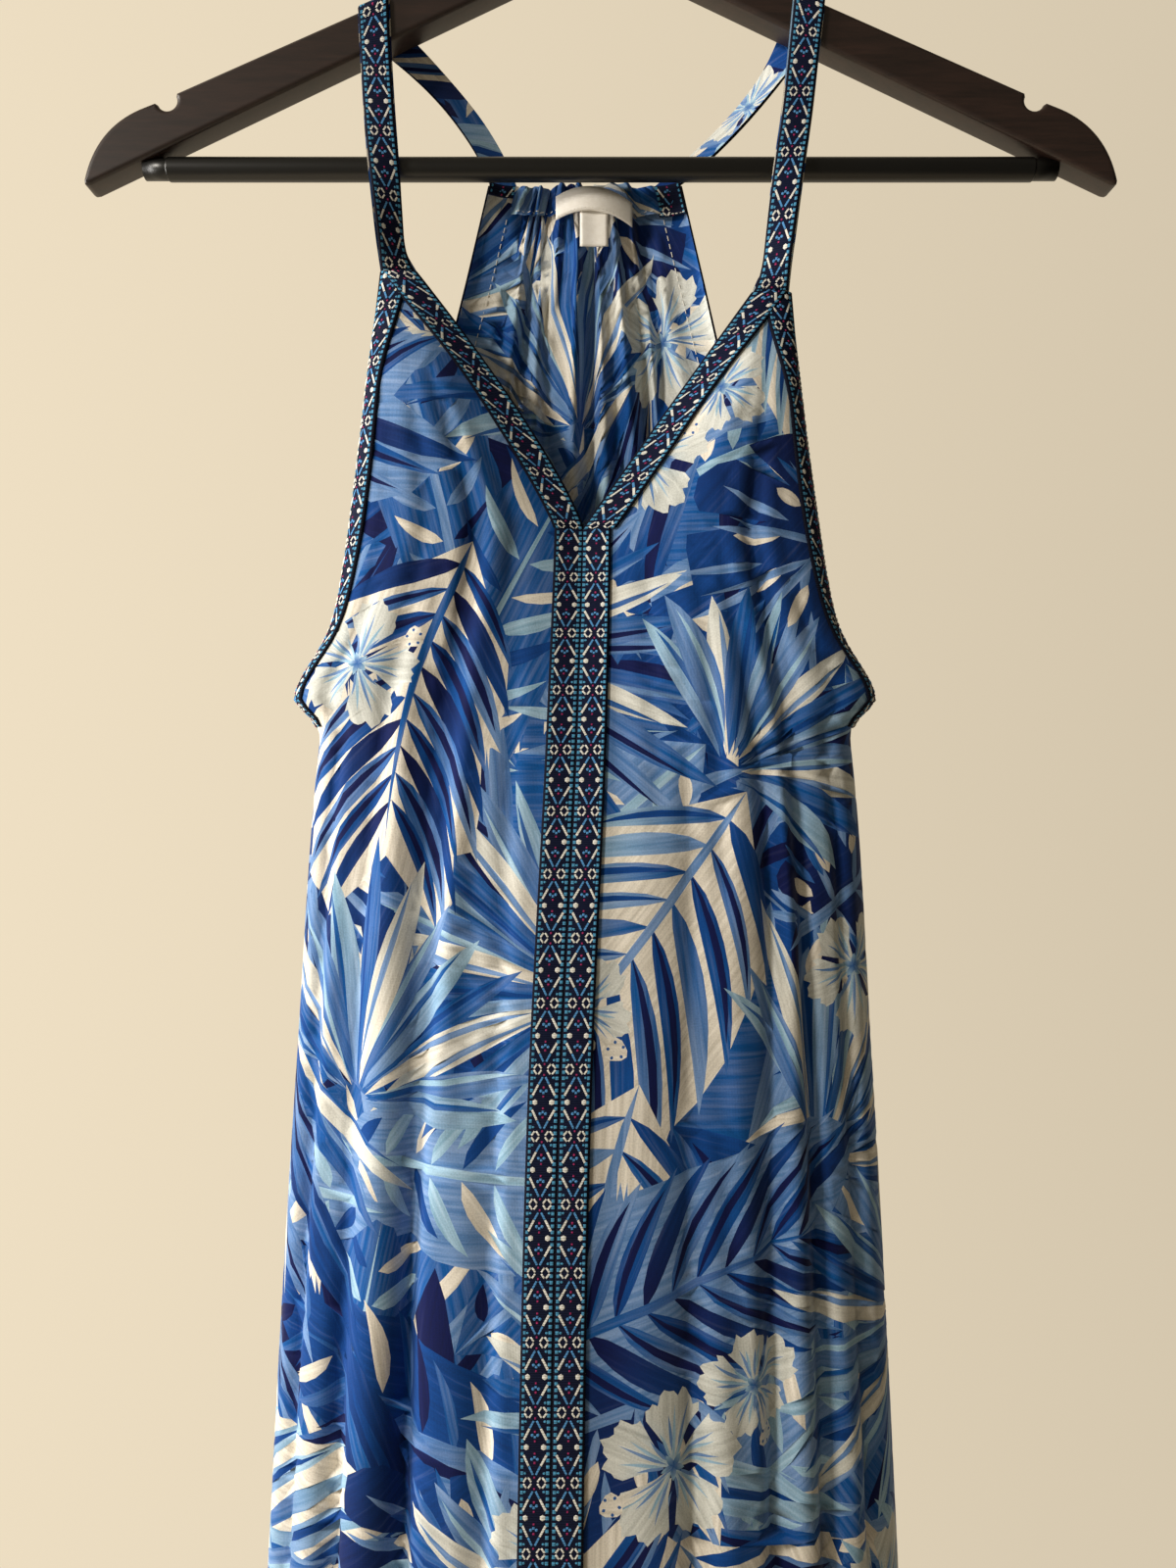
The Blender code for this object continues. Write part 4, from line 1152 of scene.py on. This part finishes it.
def linked(tree, kind, inputs=None, **settings):
    """Adds a node, with settings, and inputs that are values or other nodes' outputs."""
    node = tree.nodes.new(kind)
    for key, value in settings.items():
        setattr(node, key, value)
    for key, value in (inputs or {}).items():
        if isinstance(value, bpy.types.NodeSocket):
            tree.links.new(value, node.inputs[key])
        else:
            node.inputs[key].default_value = value
    return node


def noise(tree, vector, scale, detail, roughness=0.5):
    inputs = {"Vector": vector, "Scale": scale, "Detail": detail, "Roughness": roughness}
    return linked(tree, "ShaderNodeTexNoise", inputs).outputs["Fac"]


def ribs(tree, vector, scale, distortion, direction):
    inputs = {"Vector": vector, "Scale": scale, "Distortion": distortion}
    return linked(tree, "ShaderNodeTexWave", inputs, bands_direction=direction).outputs["Fac"]


def times_plus(tree, value, factor, addend):
    inputs = {0: value, 1: factor, 2: addend}
    return linked(tree, "ShaderNodeMath", inputs, operation="MULTIPLY_ADD").outputs[0]


def adjusted(tree, colour, value, saturation=1.0):
    inputs = {"Color": colour, "Value": value, "Saturation": saturation}
    return linked(tree, "ShaderNodeHueSaturation", inputs).outputs["Color"]


def ramp(tree, value, *stops):
    """A tone between two stops, each a place and a colour."""
    made = linked(tree, "ShaderNodeValToRGB", {"Fac": value})
    for element, (place, colour) in zip(made.color_ramp.elements, stops):
        element.position = place
        element.color = (*colour, 1)
    return made.outputs["Color"]


def finish(tree, shader, colour, height, strength, distance, **values):
    """Gives the shader a colour, a bump of a height in metres, and its other values."""
    inputs = {"Height": height, "Strength": strength, "Distance": distance}
    bump = linked(tree, "ShaderNodeBump", inputs)
    tree.links.new(colour, shader.inputs["Base Color"])
    tree.links.new(bump.outputs["Normal"], shader.inputs["Normal"])
    for name, value in values.items():
        shader.inputs[name.replace("_", " ")].default_value = value


def printed_cloth_material():
    """Matte plain-woven rayon, its print brushed along each stroke."""
    made, tree, shader = new_material("printed_rayon")
    tint = linked(tree, "ShaderNodeAttribute", attribute_name="tint").outputs["Color"]
    cut = linked(tree, "ShaderNodeUVMap", uv_map="cut").outputs["UV"]
    stroke = linked(tree, "ShaderNodeUVMap", uv_map="stroke").outputs["UV"]
    drawn = linked(tree, "ShaderNodeMapping", {"Vector": stroke, "Scale": (22.0, 520.0, 1.0)})
    brush = noise(tree, drawn.outputs["Vector"], 1.0, 3.0)
    value = times_plus(tree, brush, 0.95, 0.05)
    value = times_plus(tree, noise(tree, cut, 42.0, 4.0, 0.6), 0.50, value)
    value = times_plus(tree, noise(tree, cut, 1400.0, 1.0), 0.44, value)
    colour = adjusted(tree, tint, value, times_plus(tree, brush, -0.8, 1.47))
    threads = {0: ribs(tree, cut, 520.0, 0.4, "X"), 1: ribs(tree, cut, 480.0, 0.4, "Y")}
    weave = linked(tree, "ShaderNodeMath", threads, operation="MULTIPLY").outputs[0]
    sheen = {"Specular_IOR_Level": 0.25, "Sheen_Weight": 0.08, "Sheen_Roughness": 0.45}
    finish(tree, shader, colour, weave, 0.25, 0.0002, Roughness=0.88, **sheen)
    return made


def woven_trim_material():
    made, tree, shader = new_material("jacquard_trim")
    tint = linked(tree, "ShaderNodeAttribute", attribute_name="tint").outputs["Color"]
    cut = linked(tree, "ShaderNodeUVMap", uv_map="cut").outputs["UV"]
    colour = adjusted(tree, tint, times_plus(tree, noise(tree, cut, 900.0, 2.0), 0.5, 0.75))
    rib = ribs(tree, cut, 340.0, 0.6, "Y")
    finish(tree, shader, colour, rib, 0.6, 0.0003, Roughness=0.75, Specular_IOR_Level=0.15)
    return made


def wood_material():
    """Dark stained wood under satin lacquer, its grain along each arm."""
    made, tree, shader = new_material("espresso_wood")
    place = linked(tree, "ShaderNodeTexCoord").outputs["Object"]
    stretched = linked(tree, "ShaderNodeMapping", {"Vector": place, "Scale": (14.0, 120.0, 160.0)})
    grain = noise(tree, stretched.outputs["Vector"], 2.2, 6.0, 0.7)
    tone = ramp(tree, grain, (0.30, srgb(27, 18, 15)), (0.75, srgb(52, 35, 29)))
    lacquer = {"Roughness": 0.42, "Coat_Weight": 0.12, "Coat_Roughness": 0.30}
    finish(tree, shader, tone, grain, 0.10, 0.0004, **lacquer)
    return made


def label_material():
    """White satin-woven label tape, with a fine rib."""
    made, tree, shader = new_material("label_tape")
    place = linked(tree, "ShaderNodeTexCoord").outputs["Object"]
    uneven = noise(tree, place, 500.0, 3.0)
    tone = ramp(tree, uneven, (0.0, srgb(232, 226, 215)), (1.0, srgb(252, 249, 243)))
    finish(tree, shader, tone, ribs(tree, place, 420.0, 0.3, "Z"), 0.25, 0.0002, Roughness=0.62)
    return made


def simple_material(name, colour, roughness, metallic=0.0, scale=600.0, depth=0.0001):
    """A plain finish with a slight unevenness in its tone and surface."""
    made, tree, shader = new_material(name)
    uneven = noise(tree, linked(tree, "ShaderNodeTexCoord").outputs["Object"], scale, 3.0)
    tone = adjusted(tree, (*colour, 1), times_plus(tree, uneven, 0.24, 0.88))
    finish(tree, shader, tone, uneven, 0.3, depth, Roughness=roughness, Metallic=metallic)
    return made


def cloth_heights(top, bottom, *keys):
    """Heights down a piece, closer than ROW_STEP, that include the key ones."""
    marks = [top, *keys, bottom]
    heights = [top]
    for high, low in zip(marks, marks[1:]):
        steps = max(int(math.ceil((high - low) / ROW_STEP)), 1)
        heights += list(np.linspace(high, low, steps + 1)[1:])
    return heights


def front_cloth(side):
    heights = cloth_heights(PEAK_Z[side], HEM_Z, V_Z, UNDERARM_Z)
    starts = [abs(front_edges(side, z)[0][0] - body_at(z, "centre_x")) for z in heights]
    return Cloth([front_row(side, z) for z in heights], starts)


def back_cloth():
    rows = [back_row(z) for z in cloth_heights(BACK_TOP_Z, HEM_Z, UNDERARM_Z)]
    return Cloth(rows, [-places_along(row)[-1] / 2 for row in rows])


def edge_strip(row_of, heights, end, outward, width_of=lambda z: TRIM_WIDTH):
    """Five points across a trim at one end of each row, and the facing of each row."""
    points, normals = [], []
    for z in heights:
        row = row_of(z)
        along = places_along(row)
        across = np.linspace(0, 1, 5) * width_of(z)
        places = across if end == 0 else along[-1] - across[::-1]
        strip = at_places(row, along, places)
        ahead = strip[-1] - strip[0]
        normal = unit(np.cross(ahead, (0, 0, -1.0)))
        strip[end] += (-1 if end == 0 else 1) * TRIM_OVERHANG * unit(ahead)
        points.append(strip)
        normals.append(normal if normal @ outward > 0 else -normal)
    return np.array(points), np.array(normals)


def main_trims(look):
    """The trims along the neck, the front edges and the armholes, by panel."""
    made = {-1: [], 0: [], 1: []}
    for side, word in SIDE_NAMES.items():
        row, strip = partial(front_row, side), partial(strip_width, side)
        outward = np.array((side * 0.2, -1.0, 0))
        neck = cloth_heights(PEAK_Z[side], V_Z + GAP / 2), 0, outward, strip
        centre = cloth_heights(V_Z - GAP / 2, HEM_Z), 0, outward, strip
        armhole = cloth_heights(PEAK_Z[side], UNDERARM_Z), -1, outward
        behind = cloth_heights(BACK_TOP_Z, UNDERARM_Z), ROW_ENDS[side], np.array((side, 0.6, 0))
        for panel, part, row_of, edge, lift, phase in (
            (side, "neck", row, neck, 2 * GAP, None),
            (side, "front", row, centre, 2 * GAP, 0.84),
            (side, "armhole_front", row, armhole, GAP, 0.6),
            (0, "armhole_back", back_row, behind, 3 * GAP, 0.0),
        ):
            strips = edge_strip(row_of, *edge)
            made[panel].append(woven_trim(f"trim_{part}_{word}", *strips, look, lift, phase))
    return made


def strap_path(side, front_end, back_end):
    """Centres and width vectors of a strap's underside, from its front end to its back end."""
    x = STRAP_TOP_X[side]
    face = HANGER_THICK / 2 + GAP
    centres, widths = [front_end.mean(axis=0)], [front_end[1] - front_end[0]]
    for z, row_x, y, turn in STRAPS[side]:
        centres.append(np.array((row_x, y, z)))
        turn = math.radians(turn) * STRAP_TURN
        widths.append(TRIM_WIDTH * np.array((-side * math.cos(turn), math.sin(turn), 0)))
    on_arm = TRIM_WIDTH * np.array((-side, 0, ARM_TOP_SLOPE))
    for y, fall in (
        (-face, 2.5 * STRAP_BEND),
        (-face, STRAP_BEND),
        (STRAP_BEND - face, -GAP),
        (0.0, -GAP),
        (face - STRAP_BEND, -GAP),
        (face, STRAP_BEND),
        (face, 2.5 * STRAP_BEND),
    ):
        centres.append(np.array((x, y, arm_top(x) - fall)))
        widths.append(on_arm)
    leave, end = centres[-1], back_end.mean(axis=0)
    tilt = math.radians(STRAP_BACK_TILT[side])
    down = unit(end - leave)
    flat = unit(np.array((side * down[2], 0, abs(down[0]))))
    leaning = TRIM_WIDTH * (flat * math.cos(tilt) + np.array((0, math.sin(tilt), 0)))
    for share in STRAP_BACK_SHARES:
        swing = share + STRAP_BACK_LEAD[side] * share * (1 - share)
        centres.append(leave + (end - leave) * np.array((swing, share, share)))
        width = on_arm + (leaning - on_arm) * eased(share / 0.40)
        widths.append(width + (back_end[1] - back_end[0] - width) * eased((share - 0.60) / 0.40))
    centres.append(end)
    widths.append(back_end[1] - back_end[0])
    return np.array(centres), np.array(widths)


def rounded(values, rounds=3):
    """A line of values with its corners cut off again and again, its ends kept."""
    for _ in range(rounds):
        near = values[:-1] * 0.75 + values[1:] * 0.25
        far = values[:-1] * 0.25 + values[1:] * 0.75
        pairs = np.stack((near, far), axis=1).reshape(-1, values.shape[1])
        values = np.concatenate((values[:1], pairs, values[-1:]))
    return values


def row_end(row, end, width):
    """A row's two points across a trim, its edge first, and which way it faces."""
    along = places_along(row)
    places = np.array((0.0, width)) if end == 0 else along[-1] - np.array((0.0, width))
    strip = at_places(row, along, places)
    return strip, unit(np.cross(strip[1] - strip[0], (0, 0, 1.0)))


def add_strap(side, shapes, cloth_look, trim_look):
    """A strap: its printed facing, and the woven trim on that."""
    word = SIDE_NAMES[side]
    step = np.array((0, 0, GAP))
    peak = PEAK_Z[side]
    front, front_facing = row_end(front_row(side, peak), 0, strip_width(side, peak))
    back, back_facing = row_end(back_row(BACK_TOP_Z), ROW_ENDS[side], TRIM_WIDTH)
    front_facing = front_facing * -np.sign(front_facing[1])
    back_facing = back_facing * np.sign(back_facing[1])
    front_end = front[::-1] - front_facing * FACING_THICK + step
    back_end = back - back_facing * FACING_THICK + step
    centres, widths = (rounded(values) for values in strap_path(side, front_end, back_end))
    out = unit(np.cross(np.gradient(centres, axis=0), widths) * side)
    share = eased(np.arange(len(out)) / 6)[:, None]
    out = unit(front_facing * (1 - share) + out * share)
    share = share[::-1]
    out = unit(back_facing * (1 - share) + out * share)
    across = widths[:, None] * np.linspace(-0.5, 0.5, 5)[:, None]
    lift = FACING_THICK + GAP
    trim = woven_trim(f"strap_trim_{word}", centres[:, None] + across, out, trim_look, lift, 0.2)
    wide = centres[:, None] + across * FACING_SPREAD
    along = places_along(centres)
    starts = np.full(len(centres), -TRIM_WIDTH / 2)
    facing = Cloth(list(wide[:, ::-side]), starts, along)
    facing.normals = np.repeat(out[:, None], ROW_POINTS, axis=1)
    name = f"strap_facing_{word}"
    shift = (0.05 + 0.2 * side, 0.1)
    lining = printed_piece(name + "_cloth", facing, shapes, shift, cloth_look, name)


def stitches(name, points, normals, look, size):
    """Running stitches along a line of points in space."""
    long, gap, width = size
    along = places_along(points)
    corners, faces = [], []
    for start in np.arange(gap, along[-1] - long, long + gap):
        places = start + long * np.array((0.0, 0.2, 0.8, 1.0))
        line = at_places(points, along, places)
        up = unit(at_places(normals, along, places))
        aside = unit(np.cross(line[-1] - line[0], up[0])) * width / 2
        heights = np.array((0.0, 0.6, 0.6, 0.0))[:, None] * width * up
        for k in range(3):
            for r in (0, 4):
                a = len(corners) + r + k
                faces.append((a, a + 1, a + 5, a + 4))
        corners += [*(line - aside), *(line + heights), *(line + aside)]
    return add_object(name, new_mesh(name, corners, faces), look)


def line_on(cloth, across, down, lift):
    """Points and outward normals along a line on a cut, in space."""
    points, normals = cloth.at(np.column_stack((across, down)), lift)
    return points, normals * np.sign(lift)


def add_casing(shapes, look):
    """The band that gathers the back neck, inside it."""
    rows = []
    wave = np.sin(np.linspace(0, 2 * math.pi * CASING_PLEATS, ROW_POINTS))
    depth = CASING_PLEAT_DEPTH * wave - WALL - 2 * GAP - FACING_THICK
    for z in cloth_heights(BACK_TOP_Z, BACK_TOP_Z - CASING_HEIGHT):
        row = back_row(z)
        along = places_along(row)
        places = np.linspace(TRIM_WIDTH, along[-1] - TRIM_WIDTH, ROW_POINTS)
        rows.append(at_places(row, along, places) + np.array((0, 1, 0)) * depth[:, None])
    casing = Cloth(rows, [-places_along(row)[-1] / 2 for row in rows])
    band = printed_piece("back_casing_cloth", casing, shapes, (0.1, 0.3), look, "back_casing")
    return casing


def add_back_neck(back, shapes, cloth_look, trim_look, thread_look, label_look):
    """The casing, the straps' turned ends, the stitching and the labels."""
    casing = add_casing(shapes, cloth_look)
    made = []
    seam = -BACK_TOP_Z + CASING_HEIGHT
    for side, word in SIDE_NAMES.items():
        steps = [BACK_TOP_Z - STRAP_END[side] * k / 6 for k in range(7)]
        points, normals = edge_strip(back_row, steps, ROW_ENDS[side], np.array((0, 1.0, 0)))
        inner = points - normals[:, None] * WALL
        made.append(woven_trim(f"strap_end_{word}", inner, -normals, trim_look, phase=0.45))
        down = np.arange(seam, -UNDERARM_Z, 0.003)
        across = back.ends(down)[ROW_ENDS[side]] - side * SEAM_INSET
        line = line_on(back, across, down, -0.0004)
        made.append(stitches(f"armhole_stitches_{word}", *line, thread_look, SEAM_STITCH))
    end = casing.start[-1] + 0.001
    places = np.column_stack((np.linspace(end, -end, 200), np.full(200, seam - 0.0012)))
    points = casing.at(places)[0] - np.array((0, 0.0005, 0))
    facing = np.tile(np.array((0, -1.0, 0)), (200, 1))
    made.append(stitches("casing_stitches", points, facing, thread_look, CASING_STITCH))
    points = at_places(inner[-1], places_along(inner[-1]), np.linspace(0, TRIM_WIDTH, 60))
    points = points - normals[-1] * (GAP + TRIM_THICK + 0.0004) + np.array((0, 0, 0.0006))
    made.append(stitches("strap_end_stitches", points, facing[:60], thread_look, STRAP_END_STITCH))
    add_labels(label_look, thread_look)
    return made


def add_tape(node, outer, thick, look):
    """A piece of label tape between a grid of points and the same one further back."""
    points = np.concatenate((outer, outer + np.array((0, thick, 0)))).reshape(-1, 3)
    mesh = new_mesh(node + "_woven", points, wall_faces(*outer.shape[:2]))
    add_object(node + "_woven", mesh, look, node)


def add_labels(look, thread):
    """A bare woven label that bows out from the casing, and a bare tab below it."""
    low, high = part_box("label")
    shares = np.linspace(-1, 1, 33)
    bow = 1 - shares**2
    x = (low.x + high.x) / 2 + LABEL_HALF_WIDTH * shares
    y = high.y - LABEL_THICK - LABEL_BULGE * bow
    lean = LABEL_LEAN * LABEL_HALF_WIDTH * shares
    upper = np.column_stack((x, y, high.z + LABEL_RISE * (bow - 1) - lean))
    outer = np.array([
        upper - (0, LABEL_BELLY * math.sin(math.pi * level), LABEL_HEIGHT * level)
        for level in np.linspace(0, 1, 7)
    ])
    add_tape("label", outer, LABEL_THICK * 0.7, look)
    line = outer[-1] + np.array((0, -0.0002, 0.0010))
    facing = np.tile(np.array((0, -1.0, 0)), (len(line), 1))
    stitches("label_stitches", line, facing, thread, LABEL_STITCH)
    low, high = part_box("label_tab")
    x = np.linspace(low.x, high.x, 9)
    wave = TAB_WAVE * np.cos((x - x[4]) * 500)
    outer = np.array([
        np.column_stack((x, low.y - TAB_CURL * v**2 + wave, 0 * x + high.z + (low.z - high.z) * v))
        for v in np.linspace(0, 1, 13)
    ])
    add_tape("label_tab", outer, LABEL_THICK * 0.6, look)


def arc(centre, radius, start, end, steps):
    turns = np.radians(np.linspace(start, end, steps + 1))
    return [(centre[0] + radius * math.cos(t), centre[1] + radius * math.sin(t)) for t in turns]


def hanger_outline():
    """The right half of the hanger's wood in the X-Z plane, from the crown to the arch."""
    top_turn = math.degrees(math.atan(ARM_TOP_SLOPE))
    low_turn = math.degrees(math.atan(ARM_LOW_SLOPE))
    top_tilt, low_tilt = math.hypot(1, ARM_TOP_SLOPE), math.hypot(1, ARM_LOW_SLOPE)
    down = np.array((1, -ARM_TOP_SLOPE)) / top_tilt
    inwards = np.array((-ARM_TOP_SLOPE, -1)) / top_tilt
    points = arc((0, ARM_TOP_Z - CROWN_RADIUS * top_tilt), CROWN_RADIUS, 90, 90 - top_turn, 12)
    lip = np.array((NOTCH_X, arm_top(NOTCH_X)))
    reach = NOTCH_RADIUS + NOTCH_LIP
    points.append(tuple(lip - down * reach))
    for turn in np.radians(np.linspace(0, 180, 17)):
        sink = NOTCH_SINK + NOTCH_RADIUS * math.sin(turn)
        points.append(tuple(lip + (inwards * sink - down * NOTCH_RADIUS * math.cos(turn))))
    points.append(tuple(lip + down * reach))
    start, shoulder = np.array((TIP_START_X, arm_top(TIP_START_X))), np.array(TIP_SHOULDER)
    end = np.array((TIP_END_X, arm_low(TIP_END_X) + 0.0030))
    for t in np.linspace(0, 1, 19)[1:]:
        points.append(tuple((1 - t) ** 2 * start + 2 * t * (1 - t) * shoulder + t * t * end))
    for back, lift in ((0.0003, 0.0015), (0.0012, 0.0006), (0.0030, 0.0)):
        points.append((TIP_END_X - back, arm_low(TIP_END_X - back) + lift))
    points += arc((0, ARM_LOW_Z - ARCH_RADIUS * low_tilt), ARCH_RADIUS, 90 - low_turn, 90, 10)
    return points


def inset(outline, inwards, depth):
    """An outline moved inwards, less at its tight corners so that it never crosses itself."""
    reach = np.full(len(outline), depth)
    edges = np.roll(outline, -1, axis=0) - outline
    for _ in range(30):
        moved = outline + inwards * reach[:, None]
        kept = ((np.roll(moved, -1, axis=0) - moved) * edges).sum(axis=1) / (edges**2).sum(axis=1)
        tight = kept < 0.15
        if not tight.any():
            break
        reach[tight | np.roll(tight, 1)] *= 0.8
    return moved


def add_rings(name, rings, look, node):
    """A closed solid from rings of points, one after the other, with flat ends."""
    count = len(rings[0])
    last = count * (len(rings) - 1)
    faces = [tuple(reversed(range(count))), tuple(range(last, last + count))]
    for low in range(0, last, count):
        for i in range(count):
            a, b = low + i, low + (i + 1) % count
            faces.append((a, b, b + count, a + count))
    smooth = [len(face) == 4 for face in faces]
    mesh = new_mesh(name, [point for ring in rings for point in ring], faces, smooth)
    add_object(name, mesh, look, node)


def rounded_edge(across, along, steps):
    """A quarter turn's steps: how far in across the edge, and how far back along it."""
    turns = np.linspace(0, math.pi / 2, steps)
    return [(across * (1 - math.cos(t)), along * (1 - math.sin(t))) for t in turns]


def add_hanger(look):
    """The wood, its long edges rounded over."""
    half = hanger_outline()
    outline = np.array(half + [(-x, z) for x, z in reversed(half[1:-1])])
    before, after = np.roll(outline, 1, axis=0), np.roll(outline, -1, axis=0)
    tangents = unit(outline - before) + unit(after - outline)
    inwards = unit(np.stack((tangents[:, 1], -tangents[:, 0]), axis=1))
    deep = HANGER_THICK / 2
    steps = rounded_edge(HANGER_EDGE_ROUND, HANGER_EDGE_ROUND, 6)
    levels = [(depth, deep - back) for depth, back in steps]
    levels.append((HANGER_EDGE_ROUND + 0.0006, deep))
    levels = [(depth, -y) for depth, y in reversed(levels)] + levels
    rings = [[(x, y, z) for x, z in inset(outline, inwards, depth)] for depth, y in levels]
    add_rings("hanger_wood", rings, look, "hanger_body")


def add_bar(look):
    """The round bar along X, from its stations of place and radius."""
    half = [(SLEEVE_END_X + 0.010, DOWEL_RADIUS), (SLEEVE_END_X + 0.0002, DOWEL_RADIUS)]
    for back, thinner in rounded_edge(*SLEEVE_ROUND, 5):
        half.append((SLEEVE_END_X - back, BAR_RADIUS - thinner))
    turns = np.arange(BAR_SIDES) * 2 * math.pi / BAR_SIDES
    rings = [
        [(x, radius * math.sin(t), BAR_Z + radius * math.cos(t)) for t in turns]
        for x, radius in half + [(-x, radius) for x, radius in reversed(half)]
    ]
    add_rings("trouser_bar_sleeve", rings, look, "trouser_bar")


def add_hook(look):
    """Bent wire: a straight neck, then a round loop whose inside top is the origin."""
    centre_z = HOOK_WIRE - HOOK_RADIUS
    crown = ARM_TOP_Z - CROWN_RADIUS * (math.hypot(1, ARM_TOP_SLOPE) - 1)
    path = [(x, crown + rise) for x, rise in HOOK_NECK]
    path += arc((0, centre_z), HOOK_RADIUS, -52, 205, 22)
    path = rounded(np.array(path), 2)
    curve = bpy.data.curves.new("hook_wire", "CURVE")
    curve.dimensions = "3D"
    curve.bevel_depth = HOOK_WIRE
    curve.bevel_resolution = 6
    curve.use_fill_caps = True
    spline = curve.splines.new("POLY")
    spline.points.add(len(path) - 1)
    for point, (x, z) in zip(spline.points, path):
        point.co = (x, 0, z, 1)
    spline.use_smooth = True
    add_object("hook_wire", curve, look, "hanger_hook")


def add_hem(name, cloth, shapes, shift, cloth_look, thread_look):
    """The hem's turned-in layer and its stitches."""
    turning = cloth.down >= cloth.down[-1] - HEM_TURNING
    rows = cloth.points[turning] - cloth.normals[turning] * HEM_LAYER
    turned = Cloth(list(rows), cloth.start[turning])
    layer = printed_piece(name + "_hem", turned, shapes, shift, cloth_look, None)
    down = np.full(300, cloth.down[-1] - HEM_TURNING + 0.0015)
    start, end = cloth.ends(down)
    across = start + (end - start) * np.linspace(0.002, 0.998, 300)
    line = line_on(cloth, across, down, 0.0002)
    return [layer, stitches(name + "_hem_stitches", *line, thread_look, SEAM_STITCH)]


def add_camera():
    lens = bpy.data.cameras.new("photograph")
    lens.sensor_fit = "VERTICAL"
    lens.sensor_height = SENSOR
    lens.lens = SENSOR * FOCAL_PX / FRAME_HEIGHT_PX
    camera = placed("photograph", lens)
    camera.location = CAMERA_PLACE
    camera.rotation_euler = (math.pi / 2, 0, 0)
    bpy.context.scene.camera = camera


def add_light(name, place, target, size, watts, colour):
    lamp = bpy.data.lights.new(name, "AREA")
    lamp.shape = "RECTANGLE"
    lamp.size, lamp.size_y = size
    lamp.energy = watts
    lamp.color = colour
    made = placed(name, lamp)
    made.location = place
    made.rotation_euler = (Vector(target) - Vector(place)).to_track_quat("-Z", "Y").to_euler()


def add_room():
    """Soft light from all round, brightest behind the dress and from the left."""
    world = bpy.data.worlds.new("room")
    world.use_nodes = True
    tree = world.node_tree
    ahead = linked(tree, "ShaderNodeTexCoord").outputs["Generated"]
    parts = linked(tree, "ShaderNodeSeparateXYZ", {"Vector": ahead}).outputs
    inputs = {"Value": parts["Y"], "From Min": -0.3, "From Max": 0.75}
    inputs.update({"To Min": ROOM_DIM, "To Max": ROOM_BRIGHT})
    behind = linked(tree, "ShaderNodeMapRange", inputs, interpolation_type="SMOOTHSTEP")
    left = times_plus(tree, parts["X"], -ROOM_LEAN, behind.outputs[0])
    background = tree.nodes["Background"]
    background.inputs["Color"].default_value = (*ROOM_COLOUR, 1)
    tree.links.new(left, background.inputs["Strength"])
    bpy.context.scene.world = world


def add_surroundings():
    add_room()
    for lamp in LAMPS:
        add_light(*lamp)
    place = (0, 0.05, HEM_Z - FLOOR_BELOW_HEM)
    bpy.ops.mesh.primitive_circle_add(
        vertices=96, radius=FLOOR_RADIUS, fill_type="NGON", location=place
    )
    floor = bpy.context.object
    floor.name = "floor"
    floor.data.materials.append(simple_material("pale_floor", srgb(226, 214, 192), 0.8, scale=30.0))
    bpy.context.scene.view_settings.view_transform = "Standard"


def main():
    add_camera()
    printed = printed_cloth_material()
    woven = woven_trim_material()
    white_thread = simple_material("white_thread", srgb(236, 232, 222), 0.7)
    blue_thread = simple_material("blue_thread", srgb(46, 82, 148), 0.7)
    label = label_material()
    shapes = tropical_print()
    trims = main_trims(woven)
    for side, shift in PRINT_SHIFTS.items():
        word = SIDE_NAMES.get(side, "back")
        node = "back" if side == 0 else f"front_{word}"
        cloth = back_cloth() if side == 0 else front_cloth(side)
        piece = printed_piece(node + "_cloth", cloth, shapes, shift, printed, node)
        extras = add_hem(node, cloth, shapes, shift, printed, blue_thread)
        if side == 0:
            extras += add_back_neck(cloth, shapes, printed, woven, white_thread, label)
        extras += trims[side]
        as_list(extras)
    for side in (-1, 1):
        add_strap(side, shapes, printed, woven)
    add_hanger(wood_material())
    add_bar(simple_material("black_sleeve", srgb(13, 13, 12), 0.34, scale=900.0, depth=0.00003))
    add_hook(simple_material("polished_steel", srgb(205, 204, 202), 0.20, 1.0, 300.0, 0.00002))
    add_surroundings()


main()
